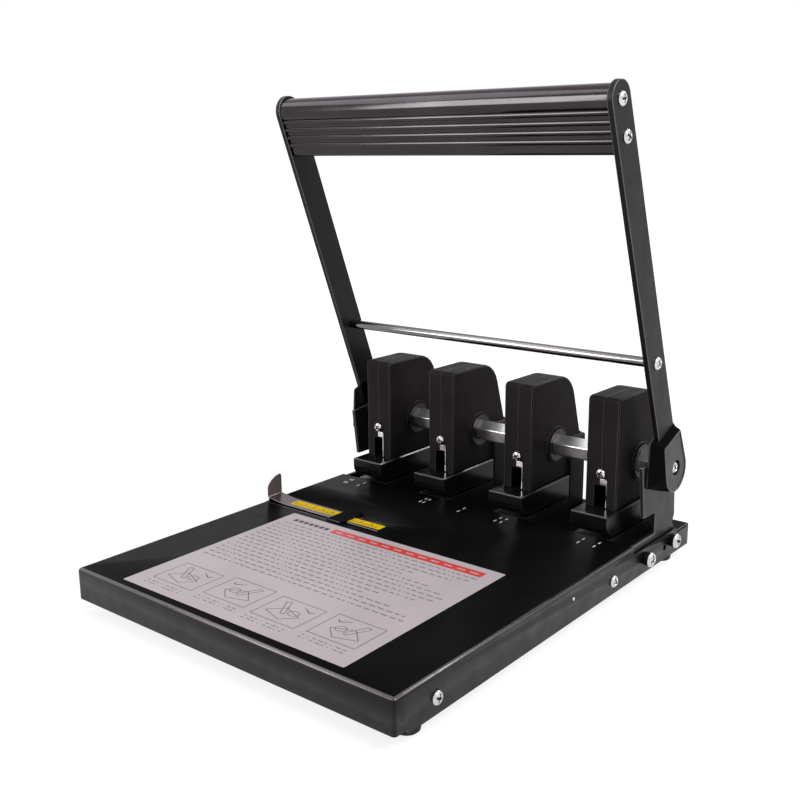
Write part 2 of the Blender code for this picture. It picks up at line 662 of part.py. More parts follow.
def pinion_outline():
    """Involute teeth, one of them pointing towards -Y; the points run anticlockwise."""
    base = PITCH_RADIUS * math.cos(PRESSURE_ANGLE)
    tip = PITCH_RADIUS + TOOTH_MODULE
    root = PITCH_RADIUS - TOOTH_MODULE * DEDENDUM_SHARE
    half_at_pitch = (math.pi * TOOTH_MODULE / 2 - BACKLASH) / 2 / PITCH_RADIUS
    half_at_base = half_at_pitch + involute(PRESSURE_ANGLE)
    flank = []
    for i in range(FLANK_STEPS + 1):
        radius = base + (tip - base) * i / FLANK_STEPS
        flank.append((radius, half_at_base - involute(math.acos(base / radius))))
    points = []
    for tooth in range(PINION_TEETH):
        middle = math.pi + 2 * math.pi * tooth / PINION_TEETH
        polar = [(root, -half_at_base)] + [(r, -a) for r, a in flank]
        polar += [(r, a) for r, a in reversed(flank)] + [(root, half_at_base)]
        points += [(r * math.cos(middle + a), r * math.sin(middle + a)) for r, a in polar]
    return points


def make_pinions(pivot):
    """A pinion with two journals for each head, bored for the hexagonal shaft."""
    half_face = PINION_FACE / 2
    length = HEAD_HALF + COLLAR_HEIGHT + PINION_PROUD
    gear = plate(pinion_outline(), -half_face, half_face)
    core_radius = PITCH_RADIUS - TOOTH_MODULE * DEDENDUM_SHARE - GAP
    core = rod((-length, 0, 0), (length, 0, 0), core_radius, BORE_SIDES)
    journals = []
    for side in (-1, 1):
        start, end = (side * PINION_JOURNAL_START, 0, 0), (side * length, 0, 0)
        journals.append(rod(start, end, PINION_JOURNAL_RADIUS, JOURNAL_SIDES))
    body = join(gear, core, *journals)
    hollow = hexagon(SHAFT_FLATS + 2 * GAP, ARM_LEAN + SHAFT_TURN)
    bore = plate(hollow, -length - OVERRUN, length + OVERRUN)
    mesh = store(cut(body, bore))
    for number, x in enumerate(HEAD_PLACES, 1):
        piece = place(f"head_{number}_pinion", mesh, "blued_steel", (x, 0, 0), pivot)
        piece.matrix_parent_inverse = Matrix.Rotation(-ARM_LEAN, 4, "X")


def make_brackets():
    """The upright end plates that carry the shaft, screwed inside the side skirts."""
    y = SHAFT_Y
    start = TABLE_BACK + BRACKET_BEHIND_TABLE
    crown = (SHAFT_Y, SHAFT_HEIGHT)
    outline = [(start, BRACKET_FOOT_BOTTOM), (y + BAY_END, BRACKET_FOOT_BOTTOM),
               (y + BAY_END, BRACKET_FOOT_TOP - BRACKET_REAR_CHAMFER),
               (y + BRACKET_REAR - BRACKET_REAR_CHAMFER, BRACKET_FOOT_TOP),
               (y + BRACKET_REAR, BRACKET_FOOT_TOP + BRACKET_REAR_CHAMFER * 2)]
    outline += arc(crown, BRACKET_CROWN_RADIUS, 0, BRACKET_CROWN_TURN, ROUND_STEPS // 2)
    outline += [(y + BRACKET_FRONT_HIGH, BRACKET_SHOULDER_HEIGHT),
                (y + BRACKET_FRONT_LOW, BRACKET_NOTCH_TOP),
                (y + BRACKET_NOTCH_BACK, BRACKET_NOTCH_TOP),
                (y + BRACKET_NOTCH_BACK, BRACKET_FOOT_TOP), (start, BRACKET_FOOT_TOP)]
    bracket = soften(plate(outline, BRACKET_INSIDE, BRACKET_OUTSIDE), BRACKET_ROUND, 1, 60.0)
    tools = [rod((0, SHAFT_Y, SHAFT_HEIGHT), (BASE_WIDTH, SHAFT_Y, SHAFT_HEIGHT), BUSH_RADIUS + GAP)]
    for place_y in BRACKET_SCREW_PLACES:
        tools.append(rod((0, y + place_y, BRACKET_SCREW_HEIGHT),
                         (BASE_WIDTH, y + place_y, BRACKET_SCREW_HEIGHT), LARGE_SCREW[2] + GAP,
                         SCREW_SIDES))
    right_mesh = store(cut(bracket, *tools))
    place("bracket_right", right_mesh, "powder_black")
    place("bracket_left", mirrored(right_mesh), "powder_black")


def make_bracket_screws():
    """Pan-head screws with their round spacers outside the skirts."""
    seat = SIDE + GAP
    spacer = rod((0, 0, 0), (SPACER_LENGTH, 0, 0), SPACER_RADIUS, SCREW_SIDES)
    screw = pan_screw(LARGE_SCREW, SPACER_LENGTH + SCREW_SINK)
    screw.data.transform(Matrix.Translation((SPACER_LENGTH - BITE, 0, 0)))
    right_mesh = store(join(spacer, screw))
    left_mesh = mirrored(right_mesh)
    for order, y in zip(("front", "rear"), BRACKET_SCREW_PLACES):
        at = (seat, SHAFT_Y + y, BRACKET_SCREW_HEIGHT)
        place(f"bracket_screw_right_{order}", right_mesh, "bright_screw", at)
        place(f"bracket_screw_left_{order}", left_mesh, "bright_screw", (-at[0], at[1], at[2]))


def make_head_screws():
    """The screw on each head's parting line."""
    screw = pan_screw(SMALL_SCREW, HEAD_SCREW_LENGTH)
    screw.data.transform(Matrix.Rotation(-math.pi / 2, 4, "Z"))
    mesh = store(screw)
    for number, x in enumerate(HEAD_PLACES, 1):
        at = (x, SHAFT_Y + HEAD_FRONT - GAP, HEAD_SCREW_HEIGHT)
        place(f"head_{number}_screw", mesh, "bright_screw", at)


def make_shaft(pivot):
    """The hexagonal shaft through all four heads, and its round bushes in the brackets."""
    shaft = plate(hexagon(SHAFT_FLATS, SHAFT_TURN), -SHAFT_END, SHAFT_END)
    hole = GRIP_SCREW[2] + GAP
    depth = SHAFT_END - SCREW_SINK - OVERRUN
    right_hole = rod((depth, 0, 0), (SHAFT_END + OVERRUN, 0, 0), hole, BORE_SIDES)
    left_hole = rod((-SHAFT_END - OVERRUN, 0, 0), (-depth, 0, 0), hole, BORE_SIDES)
    place("drive_shaft", store(cut(shaft, right_hole, left_hole)), "satin_steel", parent=pivot)
    start = BRACKET_INSIDE - GAP
    bush = rod((start - BUSH_FLANGE, 0, 0), (BRACKET_OUTSIDE, 0, 0), BUSH_RADIUS)
    bush = join(bush, rod((start - BUSH_FLANGE, 0, 0), (start, 0, 0), BUSH_FLANGE_RADIUS))
    hollow = hexagon(SHAFT_FLATS + 2 * GAP, SHAFT_TURN)
    bush_mesh = store(cut(bush, plate(hollow, start - BUSH_FLANGE - OVERRUN, SIDE + OVERRUN)))
    place("shaft_bush_right", bush_mesh, "plastic_black", parent=pivot)
    place("shaft_bush_left", mirrored(bush_mesh), "plastic_black", parent=pivot)


def make_arms(pivot):
    """The two flat arms with round ends, bored for the shaft, the rod and the grip's screws."""
    half = ARM_WIDTH / 2
    outline = arc((0, ARM_REACH), half, 0, math.pi, ROUND_STEPS)
    outline += arc((0, 0), ARM_HUB_RADIUS, math.pi, 2 * math.pi, ROUND_STEPS)
    arm = plate(outline, ARM_INSIDE, ARM_OUTSIDE)
    near, far = ARM_INSIDE - OVERRUN, ARM_OUTSIDE + OVERRUN
    tools = [plate(hexagon(SHAFT_FLATS + 2 * GAP, SHAFT_TURN), near, far)]
    for reach in (CROSS_ROD_REACH, LOWER_GRIP_SCREW, ARM_REACH):
        tools.append(rod((near, 0, reach), (far, 0, reach), GRIP_SCREW[2] + GAP, SHANK_SIDES))
    right_mesh = store(cut(arm, *tools))
    place("lever_arm_right", right_mesh, "powder_black", parent=pivot)
    place("lever_arm_left", mirrored(right_mesh), "powder_black", parent=pivot)


def grip_outline():
    """The grip's section across the arms: a roll on top, a ribbed face in front."""
    roll = (-GRIP_ROLL_FORWARD, ARM_REACH)
    turn_back = math.acos((GRIP_BACK - GRIP_ROLL_FORWARD) / GRIP_ROLL_RADIUS) - ROLL_START
    points = arc(roll, GRIP_ROLL_RADIUS, -turn_back, ROLL_END, ROUND_STEPS)
    for i in range(RIB_COUNT):
        rib = (-GRIP_FACE, FIRST_RIB - i * RIB_PITCH)
        points += arc(rib, RIB_RADIUS, math.pi / 2, math.pi * 3 / 2, RIB_STEPS)
    low = GRIP_FOOT + GRIP_CORNER
    points += arc((-GRIP_FACE + GRIP_CORNER, low), GRIP_CORNER, math.pi, math.pi * 3 / 2, GRIP_CORNER_STEPS)
    points += arc((GRIP_BACK - GRIP_CORNER, low), GRIP_CORNER, -math.pi / 2, 0, GRIP_CORNER_STEPS)
    return points


def make_grip(pivot):
    """The grip between the arms and the cross rod below it."""
    end = ARM_INSIDE - GAP
    grip = plate(grip_outline(), -end, end)
    tools = []
    for side in (-1, 1):
        for reach in (LOWER_GRIP_SCREW, ARM_REACH):
            deep = (side * (end - SCREW_SINK - OVERRUN), 0, reach)
            mouth = (side * (end + OVERRUN), 0, reach)
            tools.append(rod(deep, mouth, GRIP_SCREW[2] + GAP, SHANK_SIDES))
    place("grip", store(cut(grip, *tools)), "anodised_black", parent=pivot)
    cross = rod((-end, 0, CROSS_ROD_REACH), (end, 0, CROSS_ROD_REACH), CROSS_ROD_RADIUS)
    holes = []
    for side in (-1, 1):
        holes.append(rod((side * (end - SCREW_SINK - OVERRUN), 0, CROSS_ROD_REACH),
                         (side * (end + OVERRUN), 0, CROSS_ROD_REACH), GRIP_SCREW[2] + GAP, SHANK_SIDES))
    place("cross_rod", store(cut(cross, *holes)), "chrome", parent=pivot)


def make_lever_screws(pivot):
    """The screws through the arms into the grip and the rod, and those of the hub covers."""
    right_mesh = store(pan_screw(GRIP_SCREW, ARM_THICKNESS + SCREW_SINK))
    left_mesh = mirrored(right_mesh)
    seats = (("cross_rod", CROSS_ROD_REACH), ("grip_lower", LOWER_GRIP_SCREW), ("grip_upper", ARM_REACH))
    for name, reach in seats:
        x = ARM_OUTSIDE + GAP
        place(f"{name}_screw_right", right_mesh, "bright_screw", (x, 0, reach), pivot)
        place(f"{name}_screw_left", left_mesh, "bright_screw", (-x, 0, reach), pivot)
    hub_mesh = store(pan_screw(GRIP_SCREW, SCREW_SINK))
    hub_left = mirrored(hub_mesh)
    x = SHAFT_END + GAP + COVER_FLOOR + GAP
    place("hub_screw_right", hub_mesh, "bright_screw", (x, 0, 0), pivot)
    place("hub_screw_left", hub_left, "bright_screw", (-x, 0, 0), pivot)


def cover_outline(radius, top, rear, front_top, front):
    """A hub cover's outline across and along the arm: a flat top, a front corner, a round foot."""
    centre = COVER_ROUND_CENTRE
    start = math.atan2(front[1] - centre[1] - radius * math.sin(COVER_TOE_TURN), front[0] - centre[0])
    end = math.acos((rear - centre[0]) / radius)
    foot = arc(centre, radius, start + 2 * math.pi, 2 * math.pi - end, COVER_ROUND_STEPS)
    return [(front_top, top), front] + foot + [(rear, top)]


def make_cover(pivot):
    """A moulded hub cover over the arm's foot: wide at its base, with sloping walls."""
    base = cover_outline(COVER_BASE_RADIUS, COVER_BASE_TOP, COVER_BASE_REAR, COVER_BASE_TOE_TOP,
                         COVER_BASE_TOE)
    face = cover_outline(COVER_FACE_RADIUS, COVER_FACE_TOP, COVER_FACE_REAR, COVER_FACE_FRONT_TOP,
                         COVER_FACE_FRONT)
    form = bmesh.new()
    low = [form.verts.new((ARM_INSIDE, y, z)) for y, z in base]
    high = [form.verts.new((COVER_OUTSIDE, y, z)) for y, z in face]
    for i in range(len(low)):
        following = (i + 1) % len(low)
        form.faces.new((low[i], low[following], high[following]))
        form.faces.new((low[i], high[following], high[i]))
    form.faces.new(low)
    form.faces.new(high)
    bmesh.ops.recalc_face_normals(form, faces=form.faces)
    mesh = bpy.data.meshes.new("cover")
    form.to_mesh(mesh)
    form.free()
    cover = bpy.data.objects.new("cover", mesh)
    bpy.context.scene.collection.objects.link(cover)
    room = ARM_WIDTH / 2 + GAP
    pocket = arc((0, COVER_POCKET_REACH), room, 0, math.pi, 2)
    pocket += arc((0, 0), room, math.pi, 2 * math.pi, ROUND_STEPS)
    arm_pocket = plate(pocket, ARM_INSIDE - OVERRUN, ARM_OUTSIDE + GAP)
    shaft_pocket = plate(hexagon(SHAFT_FLATS + 2 * GAP, SHAFT_TURN), ARM_INSIDE, SHAFT_END + GAP)
    floor = SHAFT_END + GAP + COVER_FLOOR
    recess = rod((floor, 0, 0), (COVER_OUTSIDE + OVERRUN, 0, 0), COVER_RECESS_RADIUS)
    hole = rod((ARM_INSIDE, 0, 0), (COVER_OUTSIDE, 0, 0), GRIP_SCREW[2] + GAP, SHANK_SIDES)
    right_mesh = store(cut(cover, arm_pocket, shaft_pocket, recess, hole))
    place("hub_cover_right", right_mesh, "plastic_black", parent=pivot)
    place("hub_cover_left", mirrored(right_mesh), "plastic_black", parent=pivot)


def make_lever():
    """Everything that turns with the lever, on an empty at the shaft's axis."""
    pivot = bpy.data.objects.new("lever_pivot", None)
    PUNCH.objects.link(pivot)
    pivot.location = (0, SHAFT_Y, SHAFT_HEIGHT)
    pivot.rotation_euler = (ARM_LEAN, 0, 0)
    make_shaft(pivot)
    make_pinions(pivot)
    make_arms(pivot)
    make_grip(pivot)
    make_lever_screws(pivot)
    make_cover(pivot)


make_table()
make_deck()
make_bottom()
make_guide()
make_housings()
make_jaws()
make_rams()
make_brackets()
make_bracket_screws()
make_head_screws()
make_lever()
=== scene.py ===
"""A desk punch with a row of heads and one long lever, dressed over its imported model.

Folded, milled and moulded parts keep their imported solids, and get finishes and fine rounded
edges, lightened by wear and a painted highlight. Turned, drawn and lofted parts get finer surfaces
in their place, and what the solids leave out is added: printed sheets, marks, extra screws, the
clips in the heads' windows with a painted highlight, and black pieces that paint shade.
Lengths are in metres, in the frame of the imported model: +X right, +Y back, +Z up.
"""
from __future__ import annotations

import json
import logging
import math
from dataclasses import dataclass, replace
from enum import Enum
from typing import Any

import bmesh
import bpy
import numpy as np
from mathutils import Matrix, Vector

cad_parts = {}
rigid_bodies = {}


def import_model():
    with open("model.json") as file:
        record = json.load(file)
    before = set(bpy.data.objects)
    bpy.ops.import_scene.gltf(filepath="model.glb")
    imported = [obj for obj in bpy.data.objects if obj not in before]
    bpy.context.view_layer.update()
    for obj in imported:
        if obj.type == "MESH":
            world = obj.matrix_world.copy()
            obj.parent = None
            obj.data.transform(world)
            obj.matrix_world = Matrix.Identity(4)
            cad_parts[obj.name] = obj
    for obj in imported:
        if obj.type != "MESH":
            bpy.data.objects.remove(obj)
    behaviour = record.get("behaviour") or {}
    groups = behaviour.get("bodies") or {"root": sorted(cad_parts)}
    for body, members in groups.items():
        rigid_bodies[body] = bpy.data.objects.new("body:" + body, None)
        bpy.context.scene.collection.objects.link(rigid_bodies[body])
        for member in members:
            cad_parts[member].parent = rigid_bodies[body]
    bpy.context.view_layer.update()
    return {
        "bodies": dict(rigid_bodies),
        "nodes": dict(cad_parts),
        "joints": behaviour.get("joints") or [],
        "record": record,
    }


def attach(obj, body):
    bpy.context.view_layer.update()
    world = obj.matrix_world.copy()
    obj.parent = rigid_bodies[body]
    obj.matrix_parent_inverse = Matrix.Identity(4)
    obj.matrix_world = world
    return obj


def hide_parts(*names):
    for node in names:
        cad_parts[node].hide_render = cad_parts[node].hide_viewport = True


LOG = logging.getLogger("punch")
MM = 0.001
# Points nearer to each other than this are merged.
MERGE = 0.01 * MM
# The angle in degrees past which an edge stays sharp.
CREASE = 38.0
# The stretch of a noise's range that holds most of its values.
MOST = (0.35, 0.65)
# The middles of the four heads along X.
HEAD_MIDDLES = (-119.8 * MM, -45.2 * MM, 37.8 * MM, 119.2 * MM)

Pair = tuple[float, float]
Triple = tuple[float, float, float]


class Body(Enum):
    """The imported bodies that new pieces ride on."""

    BASE = "base"
    LEVER = "lever"
    GUIDE = "paper_guide"


class Side(Enum):
    """The two ends of the punch, with their sign along X."""

    LEFT = -1
    RIGHT = 1

    @property
    def word(self) -> str:
        """The side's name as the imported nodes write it."""
        return self.name.lower()


class Slot(Enum):
    """The record's material slots."""

    PAINT = "black_paint"
    CASING = "head_casing"
    ANODISED = "black_anodised"
    DARK = "dark_steel"
    STEEL = "satin_steel"
    NICKEL = "bright_screw"
    CHROME = "chrome"
    RUBBER = "foot_rubber"


@dataclass(frozen=True)
class Solid:
    """Points and faces of a closed surface, and which of a piece's finishes each face has."""

    points: np.ndarray
    faces: list[list[int]]
    zones: np.ndarray

    def moved(self, matrix: Matrix) -> Solid:
        """The solid after a 4 by 4 transform.

        Args:
            matrix: where the solid goes.

        Returns:
            The moved solid, its faces turned if the transform mirrors.
        """
        values = np.array(matrix)
        points = self.points @ values[:3, :3].T + values[:3, 3]
        mirrors = np.linalg.det(values[:3, :3]) < 0
        faces = [face[::-1] for face in self.faces] if mirrors else self.faces
        return Solid(points, faces, self.zones)

    def on_side(self, side: Side) -> Solid:
        """The solid as it is on the right, or its mirror image on the left."""
        return self.moved(Matrix.Diagonal((side.value, 1, 1, 1)))

    @staticmethod
    def together(solids: list[Solid]) -> Solid:
        """Several solids kept as one.

        Args:
            solids: the solids, in the order in which their points follow.

        Returns:
            One solid with all their points and faces.
        """
        starts = np.cumsum([0] + [len(solid.points) for solid in solids]).tolist()
        faces = [[start + index for index in face]
                 for start, solid in zip(starts, solids) for face in solid.faces]
        zones = np.concatenate([solid.zones for solid in solids])
        return Solid(np.concatenate([solid.points for solid in solids]), faces, zones)


def skin(rings: np.ndarray, bands: np.ndarray | None = None) -> Solid:
    """Joins a row of rings by quads, and closes the first and the last with one face each.

    Point j of ring i is joined to its neighbour j + 1, counted round, and to both their
    partners in ring i + 1.

    Args:
        rings: an array of rings by points by three coordinates.
        bands: the zone of each band between two rings, all zero if it is left out.

    Returns:
        The closed solid.
    """
    count, sides = rings.shape[:2]
    bands = np.zeros(count - 1, int) if bands is None else bands
    zones = np.concatenate([np.repeat(bands, sides), [0, 0]])
    ring, point = np.meshgrid(np.arange(count - 1), np.arange(sides), indexing="ij")
    after = (point + 1) % sides
    here, there = ring * sides, (ring + 1) * sides
    quads = np.stack([here + point, here + after, there + after, there + point], axis=-1)
    first = np.arange(sides)[::-1].tolist()
    last = np.arange((count - 1) * sides, count * sides).tolist()
    return Solid(rings.reshape(-1, 3), quads.reshape(-1, 4).tolist() + [first, last], zones)


def turned(profile: np.ndarray, sides: int = 48) -> Solid:
    """Turns a profile about +Z: x = radius cos a, y = radius sin a, z = height.

    Args:
        profile: rows of radius and height, from one end of the axis to the other.
        sides: how many points a ring has.

    Returns:
        The turned solid.
    """
    angle = np.linspace(0, 2 * np.pi, sides, endpoint=False)
    radius, height = profile[:, :1], profile[:, 1:]
    flat = np.stack([radius * np.cos(angle), radius * np.sin(angle)], axis=-1)
    return skin(np.concatenate([flat, np.broadcast_to(height[..., None], flat[..., :1].shape)], -1))


def arc(centre: Pair, radius: float, start: float, end: float,
        steps: int) -> np.ndarray:
    """Points on an arc: centre plus radius times the cosine and sine of evenly spaced angles.

    Args:
        centre: the arc's middle.
        radius: its radius.
        start: the first angle in radians.
        end: the last angle in radians.
        steps: how many stretches the arc is cut into.

    Returns:
        Rows of two coordinates.
    """
    angle = np.linspace(start, end, steps + 1)
    return np.stack([centre[0] + radius * np.cos(angle), centre[1] + radius * np.sin(angle)], -1)


def rounded(corners: np.ndarray, cut: float, steps: int = 6) -> np.ndarray:
    """Rounds an outline's corners with quadratic curves.

    Each corner P becomes (1 - t)^2 A + 2 t (1 - t) P + t^2 B, where A and B lie on the two
    sides at the cut's distance from P.

    Args:
        corners: rows of two coordinates, anticlockwise.
        cut: how far from a corner its curve starts.
        steps: how many stretches a corner is cut into.

    Returns:
        The rounded outline.
    """
    before = np.roll(corners, 1, axis=0) - corners
    after = np.roll(corners, -1, axis=0) - corners
    start = corners + before / np.linalg.norm(before, axis=1, keepdims=True) * cut
    end = corners + after / np.linalg.norm(after, axis=1, keepdims=True) * cut
    t = np.linspace(0, 1, steps + 1)[None, :, None]
    curve = (1 - t) ** 2 * start[:, None] + 2 * t * (1 - t) * corners[:, None]
    return (curve + t ** 2 * end[:, None]).reshape(-1, 2)


def inset(outline: np.ndarray, distances: np.ndarray) -> np.ndarray:
    """Moves an outline inwards along its mitred corners, once for each distance.

    A point moves by distance (m + n) / (1 + m . n), where m and n are the inward normals of
    the sides that meet there.

    Args:
        outline: rows of two coordinates, anticlockwise.
        distances: how far to move, one value for each copy.

    Returns:
        Copies by points by two coordinates.
    """
    back = outline - np.roll(outline, 1, axis=0)
    back /= np.linalg.norm(back, axis=1, keepdims=True)
    ahead = np.roll(back, -1, axis=0)
    m = np.stack([-back[:, 1], back[:, 0]], -1)
    n = np.stack([-ahead[:, 1], ahead[:, 0]], -1)
    step = (m + n) / (1 + np.sum(m * n, axis=1, keepdims=True))
    return outline[None] + step[None] * np.asarray(distances)[:, None, None]


def slab(outline: np.ndarray, low: float, high: float, rim: float, steps: int = 3) -> Solid:
    """Carries an outline along +X, with quarter-round rims at both ends, which are zone 1.

    At angle a of a rim the outline is moved inwards by rim (1 - cos a), and lies at
    rim (1 - sin a) from the end.

    Args:
        outline: rows of Y and Z, anticlockwise seen from +X.
        low: the first end on X.
        high: the last end on X.
        rim: the rims' radius.
        steps: how many stretches a rim is cut into.

    Returns:
        The solid.
    """
    angle = np.linspace(np.pi / 2, 0, steps + 1)
    inward = rim * (1 - np.cos(angle))
    along = rim * (1 - np.sin(angle))
    rings = inset(outline, np.concatenate([inward, inward[::-1]]))
    x = np.concatenate([low + along, (high - along)[::-1]])
    across = np.broadcast_to(x[:, None, None], rings[..., :1].shape)
    bands = np.array([1] * steps + [0] + [1] * steps)
    return skin(np.concatenate([across, rings], axis=-1), bands)


def upright(solid: Solid) -> Solid:
    """A slab laid flat: its outline lies in the XY plane and it is carried along +Z."""
    return Solid(np.roll(solid.points, -1, axis=1), solid.faces, solid.zones)


def facing(solid: Solid) -> Solid:
    """A slab turned to face -Y: its outline lies in the XZ plane and it is carried along -Y."""
    x, y, z = solid.points.T
    return Solid(np.stack([y, -x, z], -1), solid.faces, solid.zones)


def strokes(starts: np.ndarray, ends: np.ndarray, width: float, low: float, high: float) -> Solid:
    """Flat printed strokes in the XY plane, each a thin closed box.

    A stroke's four corners are its ends moved to both sides by half its width along the
    normal of its own direction.

    Args:
        starts: rows of X and Y where the strokes begin.
        ends: rows of X and Y where they end.
        width: their width.
        low: the height of their undersides.
        high: the height of their tops.

    Returns:
        All the strokes as one solid.
    """
    along = ends - starts
    along /= np.linalg.norm(along, axis=1, keepdims=True)
    side = np.stack([-along[:, 1], along[:, 0]], -1) * width / 2
    plan = np.stack([starts - side, ends - side, ends + side, starts + side], axis=1)
    levels = [np.concatenate([plan, np.full(plan.shape[:2] + (1,), z)], -1) for z in (low, high)]
    points = np.concatenate(levels, axis=1).reshape(-1, 3)
    box = np.array([[3, 2, 1, 0], [4, 5, 6, 7], [0, 1, 5, 4], [1, 2, 6, 5], [2, 3, 7, 6],
                    [3, 0, 4, 7]])
    faces = (np.arange(len(starts))[:, None, None] * 8 + box[None]).reshape(-1, 4)
    return Solid(points, faces.tolist(), np.zeros(len(faces), int))


def rectangle(left: float, right: float, near: float, far: float) -> np.ndarray:
    """A rectangle's corners in the XY plane, anticlockwise."""
    return np.array([[left, near], [right, near], [right, far], [left, far]])


def spots(x: float | np.ndarray, y: float | np.ndarray) -> np.ndarray:
    """Rows of two coordinates, from numbers or arrays that are stretched to one shape."""
    return np.stack(np.broadcast_arrays(x, y), -1).reshape(-1, 2)


def aimed(seat: Triple, axis: Triple) -> Matrix:
    """The transform that puts the origin at a seat and turns +Z along an axis."""
    return Matrix.Translation(seat) @ Vector(axis).to_track_quat("Z", "Y").to_matrix().to_4x4()


def add_object(name: str, data: bpy.types.ID) -> bpy.types.Object:
    """Makes an object and links it into the scene.

    Args:
        name: the object's name.
        data: its mesh, lamp or camera.

    Returns:
        The object.
    """
    made = bpy.data.objects.new(name, data)
    bpy.context.scene.collection.objects.link(made)
    return made


def even_normals(piece: bpy.types.Object) -> None:
    """Weights a piece's normals by its faces' areas, so that flat faces look flat."""
    piece.modifiers.new("weighted normals", "WEIGHTED_NORMAL").keep_sharp = True


def add_node(tree: bpy.types.NodeTree, kind: str, inputs: dict[Any, Any],
             **settings: Any) -> bpy.types.Node:
    """Adds a node to a node tree.

    Args:
        tree: the node tree.
        kind: the node's type.
        inputs: socket names or numbers, with a value or another node's output.
        settings: the node's own properties.

    Returns:
        The node.
    """
    added = tree.nodes.new(kind)
    for key, value in settings.items():
        setattr(added, key, value)
    for key, value in inputs.items():
        if isinstance(value, bpy.types.NodeSocket):
            tree.links.new(value, added.inputs[key])
        else:
            added.inputs[key].default_value = value
    return added


@dataclass
class Bench:
    """Puts finished pieces into the scene, and onto the bodies they ride on."""

    frame: dict[str, Any]
    count: int = 0
    bevel_steps: int = 2
    bevel_angle: float = math.radians(40.0)
    shaded_top_rise: float = 0.97
    highlit_bend_rise: float = 0.6

    def report(self, text: str, *values: Any) -> None:
        """Counts a piece and reports it."""
        self.count += 1
        LOG.info(text, *values)

    def lay(self, name: str, solid: Solid, finish: Finish, body: Body,
            nodes: tuple[str, ...] = (), second: Finish | None = None,
            crease: float = CREASE) -> None:
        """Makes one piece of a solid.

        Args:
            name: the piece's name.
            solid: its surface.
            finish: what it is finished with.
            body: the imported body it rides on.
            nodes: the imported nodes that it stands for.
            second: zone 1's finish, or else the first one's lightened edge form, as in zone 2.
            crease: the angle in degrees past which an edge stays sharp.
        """
        mesh = bpy.data.meshes.new(name)
        mesh.from_pydata(solid.points.tolist(), [], solid.faces)
        mesh.validate()
        mesh.shade_smooth()
        mesh.set_sharp_from_angle(angle=math.radians(crease))
        # Zones 1 and 2 default to the edge finish, lightened by wear and as a painted highlight.
        for layer in (finish, second or finish.worn(), finish.worn()):
            mesh.materials.append(layer.material())
        mesh.polygons.foreach_set("material_index", solid.zones.astype(np.int32))
        piece = add_object(name, mesh)
        even_normals(piece)
        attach(piece, body.value)
        if nodes:
            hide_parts(*nodes)
        self.report("piece %s: %d points", name, len(solid.points))

    def carry(self, node: str, finish: Finish, rim: float) -> None:
        """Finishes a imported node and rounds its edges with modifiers, its mesh left alone.

        Args:
            node: the node's name.
            finish: what it is finished with.
            rim: the width of its edge rounding, or zero for none.
        """
        piece = self.frame["nodes"][node]
        while len(piece.material_slots) < 2:
            piece.data.materials.append(None)
        piece.material_slots[0].material = finish.material()
        piece.material_slots[1].material = finish.worn().material()
        piece.modifiers.new("weld", "WELD").merge_threshold = MERGE
        if rim:
            bevel = piece.modifiers.new("rounded edges", "BEVEL")
            bevel.width = rim
            bevel.segments = self.bevel_steps
            bevel.limit_method = "ANGLE"
            bevel.angle_limit = self.bevel_angle
            bevel.use_clamp_overlap = True
            # The rounded edges take the edge finish, lightened by wear and as a painted highlight.
            bevel.material = 1
        even_normals(piece)
        self.report("node %s: finished", node)

    @staticmethod
    def raise_front(mesh: bpy.types.Mesh, start: float, level: float) -> None:
        """Raises the points of a mesh at or in front of a place to a level, where they are lower.

        Args:
            mesh: the mesh.
            start: the place along Y.
            level: the least height in front of it.
        """
        values = np.empty(len(mesh.vertices) * 3, np.float32)
        mesh.vertices.foreach_get("co", values)
        points = values.reshape(-1, 3)
        front = points[:, 1] < start + 10 * MERGE
        points[front, 2] = np.maximum(points[front, 2], level)
        mesh.vertices.foreach_set("co", values)

    def folded(self, node: str, name: str, flat: Finish, sides: Finish, cut: Triple) -> None:
        """A merged copy of a sheet node, with a painted shade finish on top and another on its
        sides.

        The sheet's front corners are cut back to a level by raising what hangs lower. A face is
        on top, with the painted shade, where its normal's height is over shaded_top_rise, and on a
        bend, lightened by wear and a painted highlight, where it is between highlit_bend_rise and
        that.

        Args:
            node: the node's name.
            name: the new piece's name.
            flat: the finish on top, darker and less glossy as a painted shade.
            sides: the finish elsewhere.
            cut: where the cut starts and ends along Y, and its level.
        """
        start, end, level = cut
        form = bmesh.new()
        form.from_mesh(self.frame["nodes"][node].data)
        bmesh.ops.remove_doubles(form, verts=form.verts, dist=MERGE)
        for along in (start, end):
            bmesh.ops.bisect_plane(form, geom=[*form.verts, *form.edges, *form.faces],
                                   plane_co=(0, along, 0), plane_no=(0, 1, 0))
        mesh = bpy.data.meshes.new(name)
        form.to_mesh(mesh)
        self.raise_front(mesh, start, level)
        form.clear()
        form.from_mesh(mesh)
        bmesh.ops.remove_doubles(form, verts=form.verts, dist=MERGE)
        form.to_mesh(mesh)
        form.free()
        mesh.materials.clear()
        for finish in (flat, sides, sides.worn()):
            mesh.materials.append(finish.material())
        normals = np.empty(len(mesh.polygons) * 3, np.float32)
        mesh.polygons.foreach_get("normal", normals)
        rise = normals[2::3]
        # Bend faces get the edge finish: a painted highlight along the table's top edges, with
        # wear.
        bend = (rise > self.highlit_bend_rise) & (rise < self.shaded_top_rise)
        mesh.polygons.foreach_set("material_index", (rise < self.shaded_top_rise).astype(np.int32) + bend)
        mesh.shade_smooth()
        mesh.set_sharp_from_angle(angle=math.radians(CREASE))
        piece = add_object(name, mesh)
        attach(piece, Body.BASE.value)
        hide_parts(node)
        self.report("piece %s: copied from %s", name, node)


